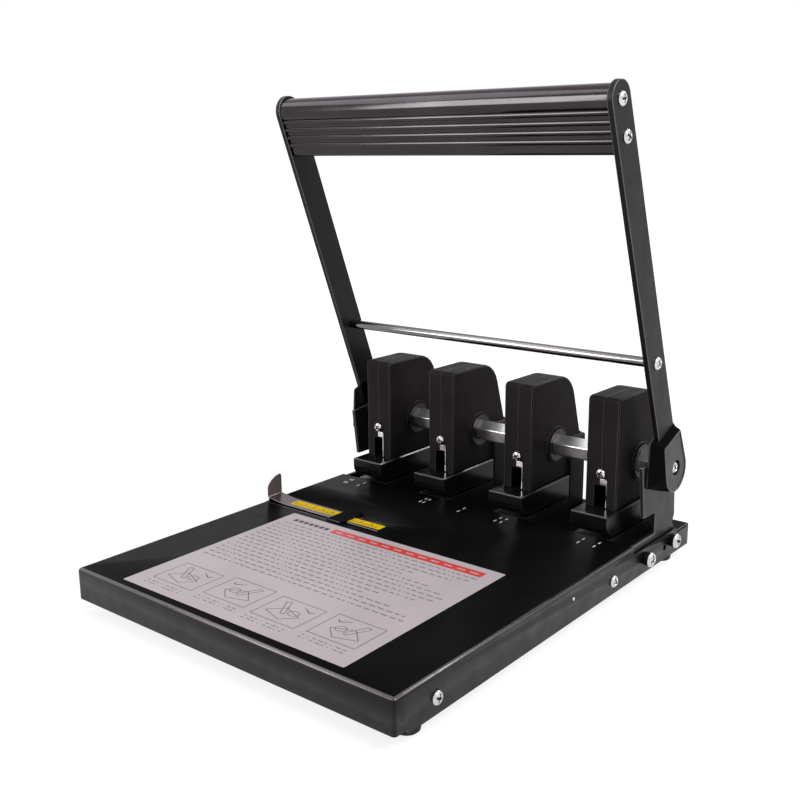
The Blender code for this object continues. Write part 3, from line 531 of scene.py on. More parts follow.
class Shading:
    """A material's node tree, written one node at a time."""

    def __init__(self, name: str) -> None:
        """Starts a material with one Principled shader.

        Args:
            name: the material's name.
        """
        self.made = bpy.data.materials.new(name)
        self.made.use_nodes = True
        self.tree = self.made.node_tree
        self.shader = self.tree.nodes["Principled BSDF"]

    def node(self, kind: str, inputs: dict[Any, Any], **settings: Any) -> bpy.types.Node:
        """Adds a node to the material, as add_node does."""
        return add_node(self.tree, kind, inputs, **settings)

    def places(self) -> bpy.types.NodeSocket:
        """The surface's own coordinates, in metres."""
        return self.node("ShaderNodeTexCoord", {}).outputs["Object"]

    def noise(self, size: float, stretch: Triple = (1, 1, 1),
              detail: float = 3.0) -> bpy.types.NodeSocket:
        """Cloudy noise.

        Args:
            size: the size of its grains in metres.
            stretch: how much longer the grains are along each axis.
            detail: how many finer layers it has.

        Returns:
            The noise, from 0 to 1.
        """
        scale = tuple(1 / (size * s) for s in stretch)
        place = self.node("ShaderNodeMapping", {"Vector": self.places(), "Scale": scale})
        return self.node("ShaderNodeTexNoise", {"Vector": place.outputs[0], "Scale": 1.0,
                                                "Detail": detail}).outputs[0]

    def span(self, value: bpy.types.NodeSocket, ends: Pair,
             low: float, high: float) -> bpy.types.NodeSocket:
        """Maps a value from one range to another, clamped.

        Args:
            value: what is mapped.
            ends: the value's range.
            low: what the range's low end becomes.
            high: what its high end becomes.

        Returns:
            The mapped value.
        """
        return self.node("ShaderNodeMapRange", {0: value, 1: ends[0], 2: ends[1], 3: low,
                                                4: high}).outputs[0]

    def blend(self, share: Any, first: Any, second: Any) -> bpy.types.NodeSocket:
        """Mixes two colours.

        Args:
            share: how much of the second there is.
            first: a colour or an output.
            second: a colour or an output.

        Returns:
            The mixed colour.
        """
        mix = self.node("ShaderNodeMix", {0: share, 6: first, 7: second}, data_type="RGBA")
        return mix.outputs[2]

    def emboss(self, height: bpy.types.NodeSocket, depth: float) -> None:
        """Bumps the shader's normal, on top of what bumps it already.

        Args:
            height: the relief, from 0 to 1.
            depth: how deep it is in metres.
        """
        bump = self.node("ShaderNodeBump", {"Height": height, "Distance": depth, "Strength": 1.0})
        normal = self.shader.inputs["Normal"]
        if normal.links:
            self.tree.links.new(normal.links[0].from_socket, bump.inputs["Normal"])
        self.tree.links.new(bump.outputs[0], normal)

    def link(self, value: bpy.types.NodeSocket, socket: str) -> None:
        """Joins an output to one of the shader's sockets."""
        self.tree.links.new(value, self.shader.inputs[socket])


@dataclass(frozen=True)
class Finish:
    """A surface finish: its colour and gloss, and how far both vary over it."""

    name: str
    slot: Slot | None
    colour: Triple
    roughness: float
    metallic: float = 0.0
    specular: float = 0.5
    colour_spread: float = 0.12
    gloss_spread: float = 0.06
    cloud: float = 40 * MM
    grain: float = 0.5 * MM
    relief: float = 0.01 * MM
    stretch: Triple = (1.0, 1.0, 1.0)
    dust: float = 0.0
    dust_size: float = 0.9 * MM
    dust_colour: tuple[float, float, float, float] = (0.35, 0.34, 0.34, 1.0)
    tint: Triple = (1.0, 0.92, 0.98)
    # How much lighter edges are, for wear and for a painted highlight.
    wear_and_highlight_gain: float = 1.6
    worn_specular: float = 0.9
    worn_roughness: float = 0.8

    def worn(self) -> Finish:
        """The same finish along edges: lighter from wear and a painted highlight, smoother,
        brighter.

        Returns:
            The edge finish, or this one if it is one already.
        """
        if self.name.endswith("_worn"):
            return self
        # The edge colour is the base colour lightened by the gain: wear plus a painted highlight.
        return replace(self, name=f"{self.name}_worn", colour=self.shade(self.wear_and_highlight_gain)[:3],
                       roughness=self.roughness * self.worn_roughness,
                       specular=self.worn_specular, dust=0.0)

    def shade(self, factor: float) -> tuple[float, float, float, float]:
        """The finish's colour made lighter or darker by a factor."""
        return tuple(min(1.0, channel * factor) for channel in self.colour) + (1.0,)

    def material(self) -> bpy.types.Material:
        """The finish's material, made the first time it is asked for.

        Broad clouds make the colour lighter and darker, and finer ones the gloss. The finish's
        own grain and the specks of dust come on top.

        Returns:
            The material.
        """
        found = bpy.data.materials.get(self.name)
        if found:
            return found
        shading = Shading(self.name)
        shading.shader.inputs["Metallic"].default_value = self.metallic
        shading.shader.inputs["Specular IOR Level"].default_value = self.specular
        shading.shader.inputs["Specular Tint"].default_value = self.tint + (1.0,)
        colour = shading.blend(shading.span(shading.noise(self.cloud), MOST, 0.0, 1.0),
                               self.shade(1 - self.colour_spread),
                               self.shade(1 + self.colour_spread))
        gloss = shading.span(shading.noise(self.cloud / 3, self.stretch), (0.3, 0.7),
                             self.roughness - self.gloss_spread,
                             self.roughness + self.gloss_spread)
        colour = self.detail(shading, colour)
        if self.dust:
            specks = shading.noise(self.dust_size, detail=2.0)
            colour = shading.blend(shading.span(specks, (0.70, 0.76), 0.0, self.dust), colour,
                                   self.dust_colour)
        shading.link(colour, "Base Color")
        shading.link(gloss, "Roughness")
        shading.made.diffuse_color = self.shade(1.0)
        return shading.made

    def detail(self, shading: Shading, colour: bpy.types.NodeSocket) -> bpy.types.NodeSocket:
        """Adds the finish's own grain.

        Args:
            shading: the material that is being written.
            colour: the colour so far.

        Returns:
            The colour with the grain's share in it.
        """
        shading.emboss(shading.noise(self.grain, self.stretch), self.relief)
        return colour


@dataclass(frozen=True)
class PowderCoat(Finish):
    """Powder paint on steel: a fine orange-peel skin, a little dust, and rubbed patches."""

    peel: float = 1.6 * MM
    rub: float = 0.22
    rub_size: float = 14 * MM
    rub_stretch: Triple = (3.0, 1.0, 1.0)
    rub_gain: float = 1.5

    def detail(self, shading: Shading, colour: bpy.types.NodeSocket) -> bpy.types.NodeSocket:
        """Adds the orange-peel waves under the fine grain, and the rubbed patches.

        Args:
            shading: the material that is being written.
            colour: the colour so far.

        Returns:
            The colour with the patches in it.
        """
        shading.emboss(shading.noise(self.peel, detail=1.0), self.relief * 2)
        shading.emboss(shading.noise(self.grain, detail=2.0), self.relief)
        patches = shading.noise(self.rub_size, self.rub_stretch, 4.0)
        return shading.blend(shading.span(patches, (0.60, 0.74), 0.0, self.rub), colour,
                             self.shade(self.rub_gain))


@dataclass(frozen=True)
class Steel(Finish):
    """Bare or plated metal: fine lines along its length and a few deeper scratches."""

    lines: Triple = (60.0, 1.0, 1.0)
    line_size: float = 0.35 * MM
    line_share: float = 0.35
    line_gain: float = 1.25
    scratches: float = 0.5
    scratch_size: float = 0.8 * MM
    scratch_gain: float = 0.62

    def detail(self, shading: Shading, colour: bpy.types.NodeSocket) -> bpy.types.NodeSocket:
        """Adds drawn lines, and scratches that cross them.

        Args:
            shading: the material that is being written.
            colour: the colour so far.

        Returns:
            The colour with the lines and scratches in it.
        """
        drawn = shading.noise(self.line_size, self.lines, 2.0)
        shading.emboss(drawn, self.relief)
        crossing = shading.noise(self.scratch_size, tuple(8.0 / s + 1 for s in self.lines), 2.0)
        marks = shading.span(crossing, (0.62, 0.70), 0.0, self.scratches)
        colour = shading.blend(marks, colour, self.shade(self.scratch_gain))
        return shading.blend(shading.span(drawn, MOST, 0.0, self.line_share), colour,
                             self.shade(self.line_gain))


@dataclass(frozen=True)
class PrintedPaper(Finish):
    """Coated paper or film: faint fibres over shallow waves."""

    fibre: float = 0.25 * MM
    fibre_share: float = 0.2
    fibre_gain: float = 0.9
    wave: float = 26 * MM

    def detail(self, shading: Shading, colour: bpy.types.NodeSocket) -> bpy.types.NodeSocket:
        """Adds fibres and shallow waves from the glue below.

        Args:
            shading: the material that is being written.
            colour: the colour so far.

        Returns:
            The colour with the fibres in it.
        """
        shading.emboss(shading.noise(self.fibre, (3.0, 1.0, 1.0)), self.relief / 2)
        shading.emboss(shading.noise(self.wave, detail=1.0), self.relief * 6)
        fibres = shading.span(shading.noise(self.fibre, (4.0, 1.0, 1.0)), (0.4, 0.7), 0.0,
                              self.fibre_share)
        return shading.blend(fibres, colour, self.shade(self.fibre_gain))


@dataclass(frozen=True)
class Finishes:
    """All the finishes of the punch."""

    # Painted shade: a darker, nearly unglossy copy of the paint for the table top, the deck and the
    # bottom plate, so that tops read dark.
    sheet: Finish = PowderCoat("powder_sheet_painted_shade", Slot.PAINT, (0.0040, 0.0037, 0.0040), 0.30,
                               specular=0.010, gloss_spread=0.02, dust=0.04, rub=0.10)
    skirt: Finish = PowderCoat("powder_skirt", Slot.PAINT, (0.0050, 0.0043, 0.0047), 0.36,
                               specular=0.20, dust=0.02, wear_and_highlight_gain=4.0)
    frame: Finish = PowderCoat("powder_frame", Slot.PAINT, (0.0115, 0.0100, 0.0110), 0.38,
                               specular=0.24, dust=0.02, wear_and_highlight_gain=5.0)
    arm: Finish = PowderCoat("powder_arm", Slot.PAINT, (0.0060, 0.0053, 0.0057), 0.38,
                             specular=0.15, dust=0.02, wear_and_highlight_gain=9.0)
    # Painted shade: the clamp's paint is darker and nearly unglossy so that it reads dark on the
    # table.
    clamp: Finish = PowderCoat("powder_clamp_painted_shade", Slot.PAINT, (0.0030, 0.0028, 0.0030), 0.40,
                               specular=0.004, dust=0.02)
    # Painted shade: a near-black, unglossy finish for dark pieces that stand where there is only
    # shade.
    painted_black_shade: Finish = PowderCoat("painted_shade_black", Slot.PAINT, (0.0015, 0.0014, 0.0015), 0.60,
                             specular=0.0, relief=0.005 * MM)
    jaw: Finish = PowderCoat("enamel_jaw", Slot.PAINT, (0.0060, 0.0055, 0.0060), 0.20,
                             specular=0.12, wear_and_highlight_gain=4.0)
    casing: Finish = PowderCoat("moulded_casing", Slot.CASING, (0.0178, 0.0153, 0.0172), 0.42,
                                specular=0.014, peel=0.9 * MM, wear_and_highlight_gain=4.0)
    cover: Finish = PowderCoat("moulded_cover", Slot.CASING, (0.0190, 0.0165, 0.0180), 0.34,
                               specular=0.30, peel=0.9 * MM, wear_and_highlight_gain=2.6)
    # Painted shade: the hub covers' front walls are painted near black, as in shadow.
    shaded: Finish = PowderCoat("moulded_wall_painted_shade", Slot.CASING, (0.0035, 0.0032, 0.0035), 0.45,
                                specular=0.010, peel=0.9 * MM)
    nylon: Finish = Finish("black_nylon", Slot.CASING, (0.007, 0.0065, 0.007), 0.40,
                           specular=0.10)
    grip: Finish = Steel("anodised_grip", Slot.ANODISED, (0.040, 0.037, 0.039), 0.13,
                         metallic=1.0, relief=0.001 * MM, lines=(90.0, 1.0, 1.0),
                         scratches=0.08, gloss_spread=0.015, wear_and_highlight_gain=3.4)
    sawn: Finish = Finish("sawn_grip_end", Slot.ANODISED, (0.020, 0.018, 0.020), 0.55,
                          specular=0.1)
    dark: Finish = Steel("blackened_steel", Slot.DARK, (0.018, 0.017, 0.018), 0.34,
                         metallic=0.6, specular=0.2, scratches=0.2, wear_and_highlight_gain=6.0)
    # Painted shade: the ram's steel is darkened because it sits in shadow deep inside the housing.
    ram: Finish = Steel("ram_steel_painted_shade", Slot.STEEL, (0.20, 0.185, 0.17), 0.28, metallic=1.0,
                        lines=(1.0, 1.0, 40.0), scratches=0.3)
    shaft: Finish = Steel("drawn_steel", Slot.STEEL, (0.88, 0.86, 0.87), 0.33, metallic=1.0,
                          relief=0.003 * MM, scratches=0.25, gloss_spread=0.04, wear_and_highlight_gain=1.2)
    strip: Finish = Steel("strip_steel", Slot.STEEL, (0.115, 0.098, 0.096), 0.26,
                          metallic=1.0, scratches=0.2)
    blade: Finish = Steel("strip_end_steel", Slot.STEEL, (0.30, 0.255, 0.25), 0.42,
                          metallic=0.75, lines=(1.0, 1.0, 40.0), scratches=0.2)
    nickel: Finish = Steel("bright_nickel", Slot.NICKEL, (0.60, 0.59, 0.585), 0.16,
                           metallic=1.0, lines=(3.0, 3.0, 3.0), relief=0.004 * MM,
                           scratches=0.25)
    # Painted shade: screw recesses get this dark copy of the nickel, as the shade inside them.
    recess: Finish = Steel("shaded_nickel", Slot.NICKEL, (0.040, 0.038, 0.038), 0.30,
                           metallic=1.0, lines=(3.0, 3.0, 3.0), relief=0.004 * MM,
                           scratches=0.25)
    chrome: Finish = Steel("bright_chrome", Slot.CHROME, (0.16, 0.155, 0.158), 0.08,
                           metallic=1.0, gloss_spread=0.03, relief=0.002 * MM, scratches=0.35)
    rubber: Finish = Finish("foot_rubber", Slot.RUBBER, (0.010, 0.010, 0.010), 0.60,
                            relief=0.03 * MM)
    paper: Finish = PrintedPaper("label_paper", None, (0.40, 0.352, 0.375), 0.42,
                                 specular=0.22, colour_spread=0.03)
    ink: Finish = PrintedPaper("grey_ink", None, (0.105, 0.095, 0.102), 0.5, specular=0.2)
    heading: Finish = PrintedPaper("black_ink", None, (0.040, 0.037, 0.040), 0.5, specular=0.2)
    red: Finish = PrintedPaper("red_band", None, (0.50, 0.036, 0.028), 0.4, specular=0.35,
                               colour_spread=0.05)
    yellow: Finish = PrintedPaper("yellow_film", None, (0.64, 0.43, 0.004), 0.45,
                                  specular=0.004, colour_spread=0.05)
    mark: Finish = PrintedPaper("white_mark", None, (0.72, 0.69, 0.71), 0.5, specular=0.2)


FINISHES = Finishes()


@dataclass(frozen=True)
class PanScrew:
    """A pan-head screw with a cross recess, its axis along +Z and its seat at z = 0."""

    radius: float
    height: float
    shank: float
    sink: float
    arm: float = 0.62
    width: float = 0.26
    depth: float = 0.55
    soft: float = 0.07
    dome: float = 3.2
    pole: float = 0.03
    edge: float = 0.16
    steps: int = 26
    sides: int = 40

    def surface(self) -> Solid:
        """The screw's surface.

        The head's radius is R sin s and its height h (1 - (r / R)^dome)^0.5, from its edge up.
        A recess of two crossed bars is taken out of its top: its depth is multiplied by two
        smooth steps, one from the nearer bar's side and one from its end. The recess's arm and
        width and the steps' softness are shares of R, and the depth and the edge of h.

        Returns:
            The screw as one closed solid, its recess in zone 1, for a painted shade.
        """
        s = np.linspace(np.pi / 2, self.pole, self.steps)
        radius = self.radius * np.sin(s)
        height = self.height * np.sqrt(np.maximum(0, 1 - (radius / self.radius) ** self.dome))
        height = np.maximum(height, self.height * self.edge)
        rims = np.array([[self.shank * 0.7, -self.sink],
                         [self.shank, -self.sink + self.shank * 0.4], [self.shank, 0.0],
                         [self.radius * 0.94, 0.0], [self.radius * 0.99, self.height * 0.08]])
        solid = turned(np.concatenate([rims, np.stack([radius, height], -1)]), self.sides)
        x, y, z = solid.points.T
        near, far = np.minimum(abs(x), abs(y)), np.maximum(abs(x), abs(y))
        soft, deep = self.radius * self.soft, self.depth * self.height
        inside = np.clip((self.radius * self.width / 2 - near) / soft + 0.5, 0, 1)
        within = np.clip((self.radius * self.arm - far) / (soft * 2) + 0.5, 0, 1)
        cut = np.where(z > self.height * 0.1, inside * within * deep, 0)
        # Faces deep in the recess are tagged for the painted shade.
        shade = np.array([np.mean(cut[face]) for face in solid.faces]) > deep * 0.3
        return Solid(np.stack([x, y, z - cut], -1), solid.faces, shade.astype(int))

    def seated(self, seat: Triple, axis: Triple, turn: float) -> Solid:
        """The screw in its place.

        Args:
            seat: the middle of the face its head rests on.
            axis: the way its head points.
            turn: how far its recess is turned, in degrees.

        Returns:
            The placed solid.
        """
        return self.surface().moved(
            aimed(seat, axis) @ Matrix.Rotation(math.radians(turn), 4, "Z"))


@dataclass
class BaseCase:
    """The folded base: table, deck, bottom plate and feet, with its screws, label and marks.

    Fittings in the skirts are placed by Y and Z, and turned profiles are radius and height.
    """

    half_width: float = 158.1 * MM
    top: float = 36.6 * MM
    corner_cut: Triple = (-191.0 * MM, -188.0 * MM, 11.6 * MM)
    deck_rim: float = 0.5 * MM
    plate_rim: float = 0.3 * MM
    skirt_screws: tuple[Pair, ...] = ((-161.0 * MM, 20.1 * MM), (65.7 * MM, 19.1 * MM))
    screw: PanScrew = PanScrew(4.9 * MM, 2.6 * MM, 1.8 * MM, 6 * MM)
    screw_turns: Pair = (20.0, 47.0)
    rivet: Pair = (4.0 * MM, 26.2 * MM)
    rivet_head: Pair = (1.3 * MM, 0.7 * MM)
    rivet_root: Pair = (0.9 * MM, -0.3 * MM)
    plug: Pair = (155.6 * MM, 18.9 * MM)
    hole_shade_profile_mm: tuple[Pair, ...] = ((0.3, -0.2), (2.5, -0.2), (2.5, 0.06), (2.4, 0.1),
                                         (0.1, 0.1))
    foot_spots: tuple[tuple[str, float], ...] = (("front", -174.8 * MM), ("rear", 175.2 * MM))
    foot_x: float = 145.1 * MM
    foot_height: float = 11.6 * MM
    foot_levels: tuple[float, ...] = (0.0, 0.03, 0.10, 0.30, 0.36, 0.42, 0.60, 0.66, 0.72, 0.97,
                                      1.0)
    foot_radii_mm: tuple[float, ...] = (0.5, 8.0, 8.9, 9.25, 8.9, 9.3, 9.55, 9.2, 9.6, 9.9, 9.7)
    marks_mm: tuple[float, ...] = (-137.8, -135.3, -120.5, -45.5, -41.5, -3.0, 36.0, 42.0,
                                   117.0, 131.6)
    mark_rows_mm: tuple[Pair, ...] = ((79.5, 84.0), (88.5, 92.5))
    mark_width: float = 1.0 * MM
    mark_levels: Pair = (-0.02 * MM, 0.03 * MM)

    def feet(self, bench: Bench) -> None:
        """Turns the rubber feet: a tapered barrel with a rounded sole and two grooves.

        Args:
            bench: where the pieces go.
        """
        levels = np.array(self.foot_levels) * self.foot_height
        foot = turned(np.stack([np.array(self.foot_radii_mm) * MM, levels], -1))
        for row, y in self.foot_spots:
            for side in Side:
                name = f"foot_{row}_{side.word}"
                place = Matrix.Translation((side.value * self.foot_x, y, 0))
                bench.lay(f"rubber_{name}", foot.moved(place), FINISHES.rubber, Body.BASE, (name,))

    def side_fittings(self, bench: Bench) -> None:
        """Adds the screws, the rivet, and the black disc that paints a hole's shade, in both side
        skirts.

        The rivet's dome has the radius R cos a and the height h sin a.

        Args:
            bench: where the pieces go.
        """
        angle = np.linspace(0, np.pi / 2 - 0.05, 8)
        dome = np.stack([np.cos(angle), np.sin(angle)], -1) * self.rivet_head
        rivet = turned(np.concatenate([[self.rivet_root], dome]), 24)
        plug = turned(np.array(self.hole_shade_profile_mm) * MM, 24)
        first, step = self.screw_turns
        for side in Side:
            outside, axis = side.value * self.half_width, (side.value, 0, 0)
            for number, (y, z) in enumerate(self.skirt_screws, 1):
                screw = self.screw.seated((outside, y, z), axis, first + step * number)
                bench.lay(f"skirt_screw_{side.word}_{number}", screw, FINISHES.nickel,
                          Body.BASE, second=FINISHES.recess)
            bench.lay(f"skirt_rivet_{side.word}", rivet.moved(aimed((outside, *self.rivet), axis)),
                      FINISHES.nickel, Body.BASE, second=FINISHES.recess)
            # A black disc just proud of the skirt is a painted shade standing in for the open hole.
            bench.lay(f"skirt_plug_{side.word}", plug.moved(aimed((outside, *self.plug), axis)),
                      FINISHES.painted_black_shade, Body.BASE)

    def printed_marks(self, bench: Bench) -> None:
        """Prints the short white marks in front of the heads, in two rows.

        Args:
            bench: where the pieces go.
        """
        x = np.array(self.marks_mm)[:, None] * MM
        near, far = np.array(self.mark_rows_mm).T * MM
        low, high = (self.top + level for level in self.mark_levels)
        solid = strokes(spots(x, near), spots(x, far), self.mark_width, low, high)
        bench.lay("table_marks", solid, FINISHES.mark, Body.BASE)

    def build(self, bench: Bench) -> None:
        """Finishes the base and adds its fittings.

        Args:
            bench: where the pieces go.
        """
        bench.folded("paper_table", "folded_table", FINISHES.sheet, FINISHES.skirt,
                     self.corner_cut)
        bench.carry("rear_deck", FINISHES.sheet, self.deck_rim)
        bench.carry("bottom_plate", FINISHES.sheet, self.plate_rim)
        self.feet(bench)
        self.side_fittings(bench)
        self.printed_marks(bench)
        Label().build(bench)


@dataclass
class Label:
    """The instruction sheet glued to the table: plain rules, a bare band and simple drawings.

    A name that ends in share or shares is measured in the sheet's width.
    """

    centre: Pair = (-2.1 * MM, -101.3 * MM)
    turn: float = 0.35
    width: float = 221.3 * MM
    depth: float = 181.8 * MM
    thickness: float = 0.12 * MM
    table: float = 36.6 * MM
    lift: float = 0.01 * MM
    rim: float = 0.03 * MM
    corner_cut: float = 1.5 * MM
    ink_levels: Pair = (-0.03 * MM, 0.02 * MM)
    heading_row: float = 12.0 * MM
    heading_shares: Pair = (0.055, 0.215)
    heading_blocks: int = 7
    block_size: Pair = (4.2 * MM, 4.6 * MM)
    band_shares: Pair = (0.255, 0.945)
    band_depth: float = 9.0 * MM
    bars: int = 12
    bar_ends: Pair = (4 * MM, -12 * MM)
    bar_size: Pair = (7.5 * MM, 1.6 * MM)
    bar_rise: float = 0.04 * MM
    rows: int = 15
    row_start: float = 21 * MM
    row_pitch: float = 6.3 * MM
    row_left_share: float = 0.475
    dashes: int = 44
    dash_gap: float = 1.1 * MM
    dash_width: float = 1.1 * MM
    boxes: int = 4
    box_left_share: float = 0.435
    box_step_share: float = 0.232
    box_size: Pair = (42.0 * MM, 33.0 * MM)
    box_lifts_mm: tuple[float, ...] = (0.0, 4.0, 2.0, 5.0)
    box_start: float = 17 * MM
    line_width: float = 0.65 * MM
    caption_start: float = 12 * MM
    caption_rows: int = 2
    caption_row_pitch: float = 3.6 * MM
    caption_dashes: int = 8
    caption_pitch: float = 5.2 * MM
    caption_width: float = 0.8 * MM

    def place(self) -> Matrix:
        """Where the sheet lies on the table."""
        turn = Matrix.Rotation(math.radians(self.turn), 4, "Z")
        return Matrix.Translation((*self.centre, self.table)) @ turn

    def printed(self, starts: np.ndarray, ends: np.ndarray, width: float) -> Solid:
        """Strokes on top of the sheet."""
        low, high = (self.thickness + level for level in self.ink_levels)
        return strokes(starts, ends, width, low, high).moved(self.place())

    def sheet(self) -> Solid:
        """The paper itself, with small round corners.

        Returns:
            The sheet in its place on the table.
        """
        x, y = self.width / 2, self.depth / 2
        outline = rounded(rectangle(-x, x, -y, y), self.corner_cut)
        return upright(slab(outline, self.lift, self.thickness, self.rim, 1)).moved(self.place())

    def rules(self) -> Solid:
        """Rows of broken rules, like lines of small print seen from afar.

        Dash k of row i takes 2 + 5 |sin(12.9 k + 78.2 i)| mm, the last gap of which stays bare,
        and the next one starts a gap further on. A row ends at the share
        0.93 - 0.25 |sin 2.7 i|^6 of the sheet's width, and dashes past that are left out.

        Returns:
            All the dashes.
        """
        row, dash = np.meshgrid(np.arange(self.rows), np.arange(self.dashes), indexing="ij")
        length = (2 + 5 * abs(np.sin(12.9 * dash + 78.2 * row))) * MM
        end = np.cumsum(length + self.dash_gap, axis=1)
        start = end - length
        kept = end < self.width * (0.93 - 0.25 * abs(np.sin(row * 2.7)) ** 6)
        left = self.width * self.row_left_share
        y = self.depth / 2 - self.row_start - row[kept] * self.row_pitch
        return self.printed(spots(start[kept] - left, y),
                            spots((end - self.dash_gap)[kept] - left, y), self.dash_width)

    def corner(self, box: np.ndarray,
               rise: float | np.ndarray) -> tuple[np.ndarray, np.ndarray]:
        """Where drawings start, from the left and from the front.

        Args:
            box: the drawings' numbers.
            rise: how far above the sheet's front edge the lowest one starts.

        Returns:
            X and Y on the sheet.
        """
        x = -self.width * self.box_left_share + self.width * self.box_step_share * box
        return x, -self.depth / 2 + rise + np.array(self.box_lifts_mm)[box] * MM

    def drawings(self) -> Solid:
        """Framed line drawings along the front: a tilted board, a round knob and an arrow.

        The shapes are drawn in a box of one by one, and every second drawing is mirrored
        inside its frame.

        Returns:
            All the strokes.
        """
        frame = np.array([[0, 0], [1, 0], [1, 1], [0, 1], [0, 0]])
        board = np.array([[0.12, 0.30], [0.55, 0.12], [0.80, 0.42], [0.38, 0.62], [0.12, 0.30]])
        lever = np.array([[0.20, 0.85], [0.42, 0.35], [0.50, 0.38], [0.30, 0.88], [0.20, 0.85]])
        arrow = np.array([[0.62, 0.86], [0.80, 0.72], [0.88, 0.80], [0.80, 0.72], [0.72, 0.80]])
        knob = arc((0.62, 0.50), 0.11, 0, 2 * math.pi, 14)
        shapes = [frame, board, lever, arrow, knob]
        number = np.arange(self.boxes)
        corners = np.stack(self.corner(number, self.box_start), -1)
        mirrored = number[:, None] % 2 == 1
        parts = []
        for points in (np.concatenate([shape[:-1] for shape in shapes]),
                       np.concatenate([shape[1:] for shape in shapes])):
            moved = np.broadcast_to(points, (self.boxes,) + points.shape).copy()
            inner = np.arange(len(points)) >= len(frame) - 1
            moved[:, inner, 0] = np.where(mirrored, 1 - moved[:, inner, 0], moved[:, inner, 0])
            parts.append((moved * self.box_size + corners[:, None]).reshape(-1, 2))
        return self.printed(*parts, self.line_width)

    def captions(self) -> Solid:
        """Two short rows of dashes below each drawing.

        Dash k of drawing j is 2.6 + 1.6 sin(3.1 j + 1.7 k) mm long.

        Returns:
            All the dashes.
        """
        box, row, dash = np.meshgrid(np.arange(self.boxes), np.arange(self.caption_rows),
                                     np.arange(self.caption_dashes), indexing="ij")
        x, y = self.corner(box, self.caption_start - row * self.caption_row_pitch)
        x = x + dash * self.caption_pitch
        length = (2.6 + 1.6 * np.sin(box * 3.1 + dash * 1.7)) * MM
        return self.printed(spots(x, y), spots(x + length, y), self.caption_width)

    def build(self, bench: Bench) -> None:
        """Lays the sheet with its print.

        Args:
            bench: where the pieces go.
        """
        bench.lay("label_sheet", self.sheet(), FINISHES.paper, Body.BASE)
        print_parts = [self.rules(), self.drawings(), self.captions()]
        bench.lay("label_print", Solid.together(print_parts), FINISHES.ink, Body.BASE)
        y = self.depth / 2 - self.heading_row
        left, right = (np.array(self.band_shares) - 0.5) * self.width
        band = self.printed(spots(left, y), spots(right, y), self.band_depth)
        bench.lay("label_band", band, FINISHES.red, Body.BASE)
        x = np.linspace(left + self.bar_ends[0], right + self.bar_ends[1], self.bars)
        length, width = self.bar_size
        bars = strokes(spots(x, y), spots(x + length, y), width, self.thickness,
                       self.thickness + self.bar_rise)
        bench.lay("label_band_rules", bars.moved(self.place()), FINISHES.paper, Body.BASE)
        x = self.width * (np.linspace(*self.heading_shares, self.heading_blocks) - 0.5)
        length, width = self.block_size
        blocks = self.printed(spots(x, y), spots(x + length, y), width)
        bench.lay("label_heading", blocks, FINISHES.heading, Body.BASE)


